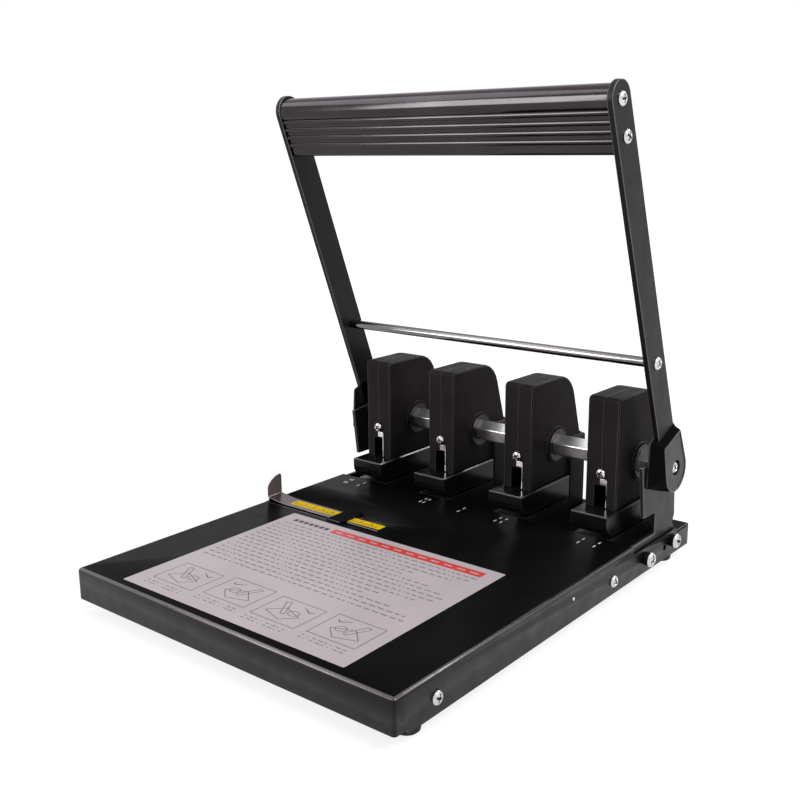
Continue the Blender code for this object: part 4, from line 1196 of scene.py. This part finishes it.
@dataclass
class PaperGuide:
    """The side guide: a steel strip bent up into a fin, two scale films and the clamp over it.

    Each film has its left and right ends, and its near and far edges from the table's front.
    """

    middle: float = 8.65 * MM
    width: float = 17.5 * MM
    floor: float = 35.7 * MM
    thickness: float = 1.0 * MM
    right_end: float = -27.3 * MM
    ramp_start: float = -135.0 * MM
    fold: float = -156.6 * MM
    ramp_rise: float = 2.6 * MM
    bend: float = 1.5 * MM
    shoulder: float = 48.4 * MM
    peak: float = 57.6 * MM
    slope: float = 14.5 * MM
    rear_cut: float = 1.3 * MM
    edge: float = 0.25 * MM
    table: float = 36.6 * MM
    table_front: float = -201.8 * MM
    slit: float = 4.1 * MM
    slit_gap: float = 0.45 * MM
    left_wall: float = -156.5 * MM
    clamp_left: float = -79.5 * MM
    clamp_rim: float = 0.2 * MM
    # Sizes of the painted shade on the strip's front edge and of the painted highlight by the slot.
    shade_strip_depths: Pair = (0.1 * MM, 0.4 * MM)
    shade_strip_foot: float = 0.1 * MM
    shade_strip_drop: float = 0.12 * MM
    lip: float = 0.4 * MM
    highlight_width: float = 0.8 * MM
    films_mm: tuple[tuple[float, float, float, float], ...] = (
        (-133.8, -79.5, 206.3, 216.5), (-65.5, -28.2, 204.5, 213.8))
    film_turns: Pair = (0.3, 0.9)
    film_thickness: float = 0.1 * MM
    tick_margins: Pair = (3 * MM, 2 * MM)
    tick_pitch: float = 3.6 * MM
    tick_start: float = 1.5 * MM
    tick_lengths: Pair = (6.2 * MM, 3.0 * MM)
    tick_width: float = 1.1 * MM
    tick_levels: Pair = (0.08 * MM, 0.12 * MM)

    @property
    def front(self) -> float:
        """The strip's front edge."""
        return self.middle - self.width / 2

    def ramp(self, v: np.ndarray, level: float) -> np.ndarray:
        """The strip's climb to the fold, where v is 1: up from a level by rise times v^1.4."""
        return np.stack([self.ramp_start + (self.fold - self.ramp_start) * v,
                         level + self.ramp_rise * v ** 1.4], -1)

    def strip(self) -> Solid:
        """The strip and its fin, one section carried along a path seen from the front.

        The path runs along -X, climbs the ramp, goes round a quarter turn and up the fin. At
        each station the section is a flat lens across Y: its front edge is the strip's, and in
        the fin it moves back by slope (1 - (1 - u^1.4)^0.6), u being the share of the height
        above the shoulder, while the rear edge moves in by rear_cut u^8. The thickness is
        measured square to the path.

        Returns:
            The bent strip, its fold in zone 2 and its fin in zone 1.
        """
        flat_points, ramp_steps, bend_steps, fin_steps = 20, 9, 8, 25
        half = self.thickness / 2
        level = self.floor + half
        flat = spots(np.linspace(self.right_end, self.ramp_start, flat_points), level)
        ramp = self.ramp(np.linspace(0, 1, ramp_steps + 1)[1:], level)
        corner = arc((self.fold, ramp[-1, 1] + self.bend), self.bend, -np.pi / 2, -np.pi,
                     bend_steps)[1:]
        fin = spots(corner[-1, 0], np.linspace(corner[-1, 1], self.peak, fin_steps + 1)[1:])
        path = np.concatenate([flat, ramp, corner, fin])
        tangent = np.gradient(path, axis=0)
        tangent /= np.linalg.norm(tangent, axis=1, keepdims=True)
        normal = np.stack([-tangent[:, 1], tangent[:, 0]], -1)
        u = np.clip((path[:, 1] - self.shoulder) / (self.peak - self.shoulder), 0, 1)
        rear = self.middle + self.width / 2 - self.rear_cut * u ** 8
        front = self.front + self.slope * (1 - (1 - u ** 1.4) ** 0.6)
        y = np.stack([front, front + self.edge, rear - self.edge, rear, rear, rear - self.edge,
                      front + self.edge, front], -1)
        t = np.array([-0.5, -1, -1, -0.5, 0.5, 1, 1, 0.5]) * half
        x = path[:, :1] + normal[:, :1] * t
        z = path[:, 1:] + normal[:, 1:] * t
        turn = len(flat) + len(ramp)
        bands = (np.arange(len(path) - 1) >= turn).astype(int)
        bands[turn - 1:turn + 5] = 2
        return skin(np.stack([x, y, z], -1), bands)

    def shade_strip(self) -> Solid:
        """A painted shade along the strip's front edge, up to the clamp: a thin black plate.

        Its top follows the strip's, shade_strip_drop below it.

        Returns:
            A thin plate that faces the front.
        """
        low = self.floor + self.shade_strip_foot
        top = self.ramp(np.linspace(1, 0, 12), self.floor + self.thickness - self.shade_strip_drop)
        rest = [[self.clamp_left, top[-1, 1]], [self.clamp_left, low], [self.fold, low]]
        start, end = (depth - self.front for depth in self.shade_strip_depths)
        return facing(slab(np.concatenate([top, rest])[::-1], start, end, 0.05 * MM, 1))

    def film(self, number: int, bench: Bench) -> None:
        """One yellow scale film with its ticks, glued on a little askew.

        Args:
            number: which film, from 1.
            bench: where the pieces go.
        """
        left, right, near, far = (value * MM for value in self.films_mm[number - 1])
        near, far = near + self.table_front, far + self.table_front
        level = self.floor + self.thickness
        outline = rounded(rectangle(left, right, near, far), 0.8 * MM, 3)
        body = upright(slab(outline, level, level + self.film_thickness, 0.02 * MM, 1))
        corner = Vector((left, near, 0))
        turn = Matrix.Rotation(math.radians(self.film_turns[number - 1]), 4, "Z")
        turn = Matrix.Translation(corner) @ turn @ Matrix.Translation(-corner)
        bench.lay(f"scale_film_{number}", body.moved(turn), FINISHES.yellow, Body.GUIDE)
        x = np.arange(left + self.tick_margins[0], right - self.tick_margins[1], self.tick_pitch)
        length = np.where(np.arange(len(x)) % 3 == 0, *self.tick_lengths)
        low, high = (level + rise for rise in self.tick_levels)
        start = near + self.tick_start
        ticks = strokes(spots(x, start), spots(x, start + length), self.tick_width, low, high)
        bench.lay(f"scale_ticks_{number}", ticks.moved(turn), FINISHES.heading, Body.GUIDE)

    def slot(self, bench: Bench) -> None:
        """Paints light and shade at the slot in front of the strip: a black plate as the painted
        shadow in the slot, one as painted shade on the strip's front edge, and a bright stroke as a
        painted highlight along the slot's front edge.

        Args:
            bench: where the pieces go.
        """
        near = self.front - self.slit
        corners = rectangle(self.left_wall, self.clamp_left, near, self.front - self.slit_gap)
        # A black plate down in the slot is a painted shadow.
        slot_shadow = upright(slab(corners, self.floor, self.table + 0.03 * MM, 0.02 * MM, 1))
        bench.lay("guide_slot_painted_shadow", slot_shadow, FINISHES.painted_black_shade, Body.BASE)
        # The strip's front edge is covered by a black plate as painted shade.
        bench.lay("guide_strip_painted_shade", self.shade_strip(), FINISHES.painted_black_shade, Body.GUIDE)
        # A bright stroke on the table is a painted highlight along the slot's front edge.
        y = near - self.lip
        edge = strokes(spots(self.left_wall, y), spots(self.clamp_left, y), self.highlight_width,
                       self.table - 0.1 * MM, self.table + 0.04 * MM)
        bench.lay("guide_slot_edge", edge, FINISHES.skirt.worn(), Body.BASE)

    def build(self, bench: Bench) -> None:
        """Makes the guide.

        Args:
            bench: where the pieces go.
        """
        bench.lay("guide_strip_bent", self.strip(), FINISHES.strip, Body.GUIDE,
                  ("guide_strip",), FINISHES.blade)
        for number in range(1, len(self.films_mm) + 1):
            self.film(number, bench)
        bench.carry("guide_clamp", FINISHES.clamp, self.clamp_rim)
        self.slot(bench)


@dataclass
class PunchHead:
    """One punching head: its housing halves, jaws, ram, pinion, screw, and window clip with a
    painted highlight.
    """

    number: int
    x: float
    front: float = 112.1 * MM
    shell_rim: float = 0.32 * MM
    jaw_rim: float = 0.25 * MM
    screw: PanScrew = PanScrew(4.2 * MM, 2.6 * MM, 1.6 * MM, 8 * MM)
    screw_height: float = 87.6 * MM
    screw_sunk: float = 0.6 * MM
    screw_turns: Pair = (25.0, 31.0)
    window_top: float = 77.2 * MM
    window_foot: float = 58.4 * MM
    window_half: float = 6.2 * MM
    clip_gap: float = 0.25 * MM
    clip_highlight_leg: float = 0.85 * MM
    clip_foot: float = 0.6 * MM
    clip_top: float = 4.4 * MM
    clip_cut: Pair = (1.35 * MM, 1.0 * MM)
    clip_thickness: float = 0.7 * MM
    clip_rim: float = 0.12 * MM
    tab: float = 6.6 * MM
    tab_rise: float = 1.2 * MM

    def clip(self) -> Solid:
        """The bright clip that hangs from the screw: a tab, and one leg down the window's edge,
        which is a painted highlight.

        Returns:
            A plate with that outline, facing the front.
        """
        right, left = self.window_half - self.clip_gap, self.window_half - self.tab
        # The narrow leg is a painted highlight along the window's right edge.
        inner, foot = right - self.clip_highlight_leg, self.window_foot + self.clip_foot
        top, tab = self.screw_height - self.clip_top, self.window_top + self.tab_rise
        across, down = self.clip_cut
        corners = np.array([[inner, foot], [right, foot], [right, tab], [right, top - down],
                            [right - across, top], [left, top], [left, tab], [inner, tab]])
        depth = -self.front + 0.1 * MM
        return facing(slab(corners, depth, depth + self.clip_thickness, self.clip_rim, 2))

    def build(self, bench: Bench) -> None:
        """Finishes the head and adds its clip.

        Args:
            bench: where the pieces go.
        """
        stem = f"head_{self.number}"
        for side in Side:
            bench.carry(f"{stem}_shell_{side.word}", FINISHES.casing, self.shell_rim)
        for part, finish, rim in (("shoe", FINISHES.jaw, self.jaw_rim),
                                  ("die_block", FINISHES.dark, self.jaw_rim),
                                  ("punch_ram", FINISHES.ram, 0.0),
                                  ("pinion", FINISHES.dark, 0.0)):
            bench.carry(f"{stem}_{part}", finish, rim)
        seat = (self.x, self.front - self.screw_sunk, self.screw_height)
        first, step = self.screw_turns
        screw = self.screw.seated(seat, (0, -1, 0), first + step * self.number)
        bench.lay(f"{stem}_pan_screw", screw, FINISHES.nickel, Body.BASE, (f"{stem}_screw",),
                  FINISHES.recess)
        clip = self.clip().moved(Matrix.Translation((self.x, 0, 0)))
        bench.lay(f"{stem}_window_clip", clip, FINISHES.nickel, Body.BASE)


@dataclass
class EndFrame:
    """The bracket at one end, with its bush and the two screws on spacers.

    A screw has its place's name, its Y and Z, and how far its recess is turned, in degrees.
    """

    side: Side
    outside: float = 158.4 * MM
    frame_rim: float = 0.3 * MM
    bush_rim: float = 0.2 * MM
    screw: PanScrew = PanScrew(6.2 * MM, 3.6 * MM, 2.5 * MM, 4 * MM, arm=0.6)
    screws: tuple[tuple[str, float, float, float], ...] = (
        ("front", 118.7 * MM, 21.2 * MM, 12.0), ("rear", 166.0 * MM, 23.0 * MM, 70.0))
    spacer: float = 4.5 * MM
    spacer_radius: float = 5.6 * MM
    spacer_bore: float = 2.6 * MM
    spacer_rim: float = 0.4 * MM

    def build(self, bench: Bench) -> None:
        """Finishes the bracket and makes its screws.

        Args:
            bench: where the pieces go.
        """
        word, sign = self.side.word, self.side.value
        bench.carry(f"bracket_{word}", FINISHES.frame, self.frame_rim)
        bench.carry(f"shaft_bush_{word}", FINISHES.nylon, self.bush_rim)
        bore, radius, long, rim = (self.spacer_bore, self.spacer_radius, self.spacer,
                                   self.spacer_rim)
        spacer = turned(np.array([[bore, 0], [radius - rim, 0], [radius, rim],
                                  [radius, long - rim], [radius - rim, long], [bore, long]]))
        axis = (sign, 0, 0)
        for order, y, z, turn in self.screws:
            node = f"bracket_screw_{word}_{order}"
            bench.lay(f"spacer_{word}_{order}",
                      spacer.moved(aimed((sign * self.outside, y, z), axis)),
                      FINISHES.nylon, Body.BASE)
            screw = self.screw.seated((sign * (self.outside + long), y, z), axis, turn)
            bench.lay(f"pan_{node}", screw, FINISHES.nickel, Body.BASE, (node,),
                      FINISHES.recess)


@dataclass
class Lever:
    """What swings: the shaft, the arms, the grip, the cross rod, the covers and their screws.

    The sizes are in the arms' own frame: the shaft at the origin, and the arms along +Z.
    """

    pivot: Triple = (0.0, 153.2 * MM, 91.2 * MM)
    lean: float = math.radians(21.1)
    arm_width: float = 26.4 * MM
    arm_reach: float = 308.7 * MM
    arm_inside: float = 156.2 * MM
    arm_outside: float = 160.8 * MM
    arm_rim: float = 0.5 * MM
    hub_radius: float = 13.3 * MM
    end_gap: float = 0.3 * MM
    shaft_end: float = 161.2 * MM
    shaft_flats: float = 18.0 * MM
    shaft_turn: float = math.radians(17.5)
    shaft_corner: float = 0.7 * MM
    grip_face: float = 11.2 * MM
    grip_back: float = 8.5 * MM
    grip_foot: float = 271.9 * MM
    grip_corner: float = 3 * MM
    grip_rim: float = 0.25 * MM
    roll_radius: float = 11.2 * MM
    roll_forward: float = 1.2 * MM
    roll_back: float = math.radians(4.0)
    roll_end: float = math.radians(192.0)
    ribs: int = 4
    rib_top: float = 302.9 * MM
    rib_pitch: float = 6.8 * MM
    rib_radius: float = 2.2 * MM
    rib_sunk: float = 0.9 * MM
    rod_reach: float = 99.1 * MM
    rod_radius: float = 4.0 * MM
    rod_cut: float = 0.5 * MM
    lower_screw: float = 282.0 * MM
    hub_seat: float = 162.7 * MM
    screw: PanScrew = PanScrew(5.2 * MM, 2.6 * MM, 2.2 * MM, 10 * MM)
    screw_turns: Pair = (10.0, 33.0)

    @property
    def swing(self) -> Matrix:
        """From the arms' own frame to the model's."""
        return Matrix.Translation(self.pivot) @ Matrix.Rotation(self.lean, 4, "X")

    def arms(self, bench: Bench) -> None:
        """The flat arms: two half circles joined by straight sides, carried through the sheet.

        Args:
            bench: where the pieces go.
        """
        top = arc((0, self.arm_reach), self.arm_width / 2, 0, np.pi, 24)
        hub = arc((0, 0), self.hub_radius, np.pi, 2 * np.pi, 24)
        solid = slab(np.concatenate([top, hub]), self.arm_inside, self.arm_outside, self.arm_rim)
        for side in Side:
            bench.lay(f"arm_{side.word}", solid.on_side(side).moved(self.swing), FINISHES.arm,
                      Body.LEVER, (f"lever_arm_{side.word}",))

    def shaft(self, bench: Bench) -> None:
        """The hexagonal shaft, its edges rounded and its ends chamfered.

        Args:
            bench: where the pieces go.
        """
        angle = self.shaft_turn + np.arange(6) * np.pi / 3
        corners = np.stack([np.cos(angle), np.sin(angle)], -1) * self.shaft_flats / math.sqrt(3)
        outline = rounded(corners, self.shaft_corner, 3)
        solid = slab(outline, -self.shaft_end, self.shaft_end, 0.5 * MM, 2)
        bench.lay("hexagonal_shaft", solid.moved(self.swing), FINISHES.shaft, Body.LEVER,
                  ("drive_shaft",))

    def grip(self, bench: Bench) -> None:
        """The grip's extruded section: a roll on top, thin ribs in front, round lower corners.

        Each rib is the part of a circle that stands out of the face, its middle rib_sunk
        behind it. The ends of the extrusion are zone 1.

        Args:
            bench: where the pieces go.
        """
        face, back, cut = -self.grip_face, self.grip_back, self.grip_corner
        turn = math.acos((back - self.roll_forward) / self.roll_radius) - self.roll_back
        section = [arc((-self.roll_forward, self.arm_reach), self.roll_radius, -turn,
                       self.roll_end, 44)]
        half = math.acos(self.rib_sunk / self.rib_radius)
        for rib in range(self.ribs):
            centre = (face + self.rib_sunk, self.rib_top - rib * self.rib_pitch)
            section.append(arc(centre, self.rib_radius, np.pi - half, np.pi + half, 10))
        low = self.grip_foot + cut
        section.append(arc((face + cut, low), cut, np.pi, np.pi * 3 / 2, 8))
        section.append(arc((back - cut, low), cut, -np.pi / 2, 0, 8))
        end = self.arm_inside - self.end_gap
        solid = slab(np.concatenate(section), -end, end, self.grip_rim, 2)
        solid.zones[-2:] = 1
        bench.lay("grip_extrusion", solid.moved(self.swing), FINISHES.grip, Body.LEVER,
                  ("grip",), FINISHES.sawn)

    def rod(self, bench: Bench) -> None:
        """The chrome cross rod, turned with small chamfers.

        Args:
            bench: where the pieces go.
        """
        end, radius, cut = self.arm_inside - self.end_gap, self.rod_radius, self.rod_cut
        pole, dish = 0.4 * MM, 0.02 * MM
        profile = np.array([[pole, -end + dish], [radius - cut, -end], [radius, -end + cut],
                            [radius, end - cut], [radius - cut, end], [pole, end - dish]])
        place = Matrix.Translation((0, 0, self.rod_reach)) @ Matrix.Rotation(math.pi / 2, 4, "Y")
        bench.lay("chrome_rod", turned(profile).moved(self.swing @ place), FINISHES.chrome,
                  Body.LEVER, ("cross_rod",))

    def screws(self, bench: Bench) -> None:
        """The screws through the arms, and those in the covers' recesses.

        Args:
            bench: where the pieces go.
        """
        seats = (("cross_rod", self.rod_reach, self.arm_outside),
                 ("grip_lower", self.lower_screw, self.arm_outside),
                 ("grip_upper", self.arm_reach, self.arm_outside), ("hub", 0.0, self.hub_seat))
        first, step = self.screw_turns
        for side in Side:
            for number, (name, reach, x) in enumerate(seats):
                screw = self.screw.seated((side.value * x, 0, reach), (side.value, 0, 0),
                                          step * number + first)
                node = f"{name}_screw_{side.word}"
                bench.lay(f"pan_{node}", screw.moved(self.swing), FINISHES.nickel, Body.LEVER,
                          (node,), FINISHES.recess)

    def build(self, bench: Bench) -> None:
        """Makes the lever.

        Args:
            bench: where the pieces go.
        """
        for step in (self.shaft, self.arms, self.grip, self.rod, self.screws):
            step(bench)
        HubCover().build(bench, self.swing)


@dataclass
class HubCover:
    """The moulded cover over an arm's foot, in the arms' own frame.

    A name that ends in mm is in millimetres.
    """

    inside: float = 156.2 * MM
    outside: float = 166.3 * MM
    sides: int = 180
    crease: float = 34.0
    base_corners_mm: tuple[Pair, ...] = ((15.3, 37.2), (-21.8, 37.2), (-37.2, 3.0))
    face_corners_mm: tuple[Pair, ...] = ((14.0, 28.6), (-15.6, 28.6), (-18.2, -8.0))
    base_radius_mm: float = 19.2
    face_radius_mm: float = 18.0
    centre_mm: Pair = (-1.5, -1.5)
    recess: float = 6.4 * MM
    base_rings_mm: tuple[Pair, ...] = ((0.0, 0.3), (0.0, 1.6), (-0.35, 2.0))
    face_rings_mm: tuple[Pair, ...] = ((0.35, -0.45), (0.0, -0.12), (-0.4, 0.0), (-1.5, 0.0),
                                       (-1.8, -0.12), (-2.1, -0.6))
    hole_rings_mm: tuple[Pair, ...] = ((1.0, -0.6), (0.3, -0.75), (0.0, -1.1), (0.0, -3.6),
                                       (-0.64, -3.7))

    def reach(self, corners: tuple[Pair, ...], radius: float) -> np.ndarray:
        """How far the outline lies from the shaft's middle, for evenly spaced angles.

        The outline is the hull of the corners and the foot's circle. For each direction it is
        bounded by many straight lines, the hull's supports: the hull reaches
        h(a) = max over its points of p . (cos a, sin a), and the distance along a ray at angle
        t is the least of h(a) / cos(t - a) over the directions a that face it.

        Args:
            corners: the straight part's corners in millimetres.
            radius: the round foot's radius in millimetres.

        Returns:
            One distance in metres for each angle.
        """
        foot = arc(self.centre_mm, radius, np.pi * 0.9, 2 * np.pi, 60)
        points = np.concatenate([np.array(corners), foot])
        a = np.linspace(0, 2 * np.pi, 4 * self.sides, endpoint=False)
        support = np.max(points @ np.stack([np.cos(a), np.sin(a)]), axis=0)
        t = np.linspace(0, 2 * np.pi, self.sides, endpoint=False)
        lean, least = np.cos(t[:, None] - a), 0.05
        return np.min(np.where(lean > least, support / np.maximum(lean, least), np.inf), 1) * MM

    def surface(self) -> Solid:
        """The cover as rings about the shaft, from its base to the floor of its recess.

        The wall blends from the base's outline to the face's; the face has a raised rim, a
        shallow panel inside it, and a round recess for the screw. A ring is how far it lies
        outside its outline, and how far along X from the cover's inside or its outside.

        Returns:
            The closed solid on the right: its wall in zone 1 with a painted shade, its rim in zone
                2.
        """
        base = self.reach(self.base_corners_mm, self.base_radius_mm)
        face = self.reach(self.face_corners_mm, self.face_radius_mm)
        hole = np.full(self.sides, self.recess)
        radius, x = [base * 0.99], [self.inside]
        for outline, start, rings in ((base, self.inside, self.base_rings_mm),
                                      (face, self.outside, self.face_rings_mm),
                                      (hole, self.outside, self.hole_rings_mm)):
            radius += [outline + out * MM for out, _ in rings]
            x += [start + along * MM for _, along in rings]
        radius = np.stack(radius)
        angle = np.linspace(0, 2 * np.pi, self.sides, endpoint=False)
        across = np.broadcast_to(np.array(x)[:, None], radius.shape)
        bands = np.zeros(len(x) - 1, int)
        # The wall band gets a painted shade; the rim band gets the edge finish with its painted
        # highlight.
        bands[2:4], bands[4:6] = 1, 2
        return skin(np.stack([across, radius * np.cos(angle), radius * np.sin(angle)], -1), bands)

    def build(self, bench: Bench, swing: Matrix) -> None:
        """Makes the cover for both ends.

        Args:
            bench: where the pieces go.
            swing: from the arms' frame to the model's.
        """
        solid = self.surface()
        for side in Side:
            bench.lay(f"moulded_cover_{side.word}", solid.on_side(side).moved(swing),
                      FINISHES.cover, Body.LEVER, (f"hub_cover_{side.word}",),
                      FINISHES.shaded, self.crease)


@dataclass
class Studio:
    """The camera, the pale floor and the soft lamps.

    A lamp has a name, a place, a width and a height in metres, and its power in watts.
    """

    azimuth: float = 39.36
    elevation: float = 13.64
    roll: float = -0.46
    lens: float = 46.73
    sensor: float = 36.0
    target: Triple = (-0.37987, 0.46144, 0.0085)
    distance: float = 1.43904
    floor_half: float = 6.0
    floor_colour: tuple[float, float, float, float] = (0.86, 0.86, 0.87, 1.0)
    glow: float = 1.16
    near: float = 0.55
    far: float = 1.3
    near_share: float = 0.70
    white: tuple[float, float, float, float] = (1.0, 1.0, 1.0, 1.0)
    world_level: float = 0.35
    aim: Triple = (0.0, 0.0, 0.12)
    lamps: tuple[tuple[str, Triple, float, float, float], ...] = (
        ("left_softbox", (-1.22, -0.60, 1.75), 1.10, 1.10, 11.0),
        ("front_softbox", (-1.22, -1.80, 0.86), 0.70, 1.30, 30.0),
        ("rear_softbox", (0.53, 1.65, 1.46), 0.50, 0.50, 10.0),
        ("right_softbox", (1.45, 0.15, 1.65), 0.90, 0.90, 26.0),
    )

    def camera(self) -> None:
        """Puts the camera where the photograph was taken from."""
        a, e, r = (math.radians(v) for v in (self.azimuth, self.elevation, self.roll))
        back = Vector((math.sin(a) * math.cos(e), -math.cos(a) * math.cos(e), math.sin(e)))
        right = Vector((math.cos(a), math.sin(a), 0))
        up = back.cross(right)
        right, up = right * math.cos(r) + up * math.sin(r), up * math.cos(r) - right * math.sin(r)
        lens = bpy.data.cameras.new("camera")
        lens.lens = self.lens
        lens.sensor_width = self.sensor
        camera = add_object("camera", lens)
        turn = Matrix((right, up, back)).transposed().to_4x4()
        camera.matrix_world = Matrix.Translation(
            Vector(self.target) + back * self.distance) @ turn
        bpy.context.scene.camera = camera

    def floor(self) -> None:
        """Lays the floor: white to the camera and in reflections, and keeping soft shadows.

        Seen by the camera it is partly lit and partly glowing: the glow's share is near_share
        around the punch, where the shadows are, and grows to one between near and far.
        """
        half = self.floor_half
        plan = rectangle(-half, half, -half, half)
        mesh = bpy.data.meshes.new("floor")
        mesh.from_pydata(np.pad(plan, ((0, 0), (0, 1))).tolist(), [], [[0, 1, 2, 3]])
        made = bpy.data.materials.new("pale_floor")
        made.use_nodes = True
        tree = made.node_tree
        tree.nodes.clear()
        spot = add_node(tree, "ShaderNodeTexCoord", {}).outputs["Object"]
        reach = add_node(tree, "ShaderNodeVectorMath", {0: spot}, operation="LENGTH")
        fade = add_node(tree, "ShaderNodeMapRange",
                        {0: reach.outputs["Value"], 1: self.near, 2: self.far,
                         3: self.near_share, 4: 1.0})
        share = add_node(tree, "ShaderNodeMath", {0: self.seen(tree), 1: fade.outputs[0]},
                         operation="MULTIPLY")
        diffuse = add_node(tree, "ShaderNodeBsdfDiffuse", {"Color": self.floor_colour})
        glow = add_node(tree, "ShaderNodeEmission", {"Strength": self.glow})
        mix = add_node(tree, "ShaderNodeMixShader",
                       {0: share.outputs[0], 1: diffuse.outputs[0], 2: glow.outputs[0]})
        add_node(tree, "ShaderNodeOutputMaterial", {0: mix.outputs[0]})
        mesh.materials.append(made)
        floor = add_object("floor", mesh)

    def seen(self, tree: bpy.types.NodeTree) -> bpy.types.NodeSocket:
        """Tells camera, glossy and transmission rays from the rest.

        Args:
            tree: the node tree it is added to.

        Returns:
            1 for those rays and 0 for the others.
        """
        path = add_node(tree, "ShaderNodeLightPath", {})
        total = path.outputs["Is Camera Ray"]
        for name in ("Is Glossy Ray", "Is Transmission Ray"):
            total = add_node(tree, "ShaderNodeMath", {0: total, 1: path.outputs[name]},
                             operation="MAXIMUM").outputs[0]
        return total

    def world(self) -> None:
        """Fills the surroundings with soft light, white where the camera looks."""
        world = bpy.data.worlds.new("studio")
        bpy.context.scene.world = world
        world.use_nodes = True
        tree = world.node_tree
        background = tree.nodes["Background"]
        background.inputs["Color"].default_value = self.white
        level = add_node(tree, "ShaderNodeMapRange",
                         {0: self.seen(tree), 3: self.world_level, 4: 1.0})
        tree.links.new(level.outputs[0], background.inputs["Strength"])

    def lights(self) -> None:
        """Hangs the soft lamps, all aimed at the punch."""
        for name, place, width, height, power in self.lamps:
            data = bpy.data.lights.new(name, "AREA")
            data.shape = "RECTANGLE"
            data.size = width
            data.size_y = height
            data.energy = power
            lamp = add_object(name, data)
            lamp.location = place
            aim = Vector(self.aim) - Vector(place)
            lamp.rotation_euler = aim.to_track_quat("-Z", "Y").to_euler()

    def build(self) -> None:
        """Makes the stage and sets the plain view transform."""
        self.camera()
        self.floor()
        self.world()
        self.lights()
        bpy.context.scene.view_settings.view_transform = "Standard"


def main() -> None:
    """Dresses the punch, one sub-assembly after another."""
    logging.basicConfig(level=logging.INFO, format="%(message)s")
    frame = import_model()
    Studio().build()
    bench = Bench(frame)
    BaseCase().build(bench)
    PaperGuide().build(bench)
    for number, x in enumerate(HEAD_MIDDLES, 1):
        PunchHead(number, x).build(bench)
    for side in Side:
        EndFrame(side).build(bench)
    Lever().build(bench)
    LOG.info("pieces and nodes dressed: %d", bench.count)


if __name__ == "__main__":
    main()
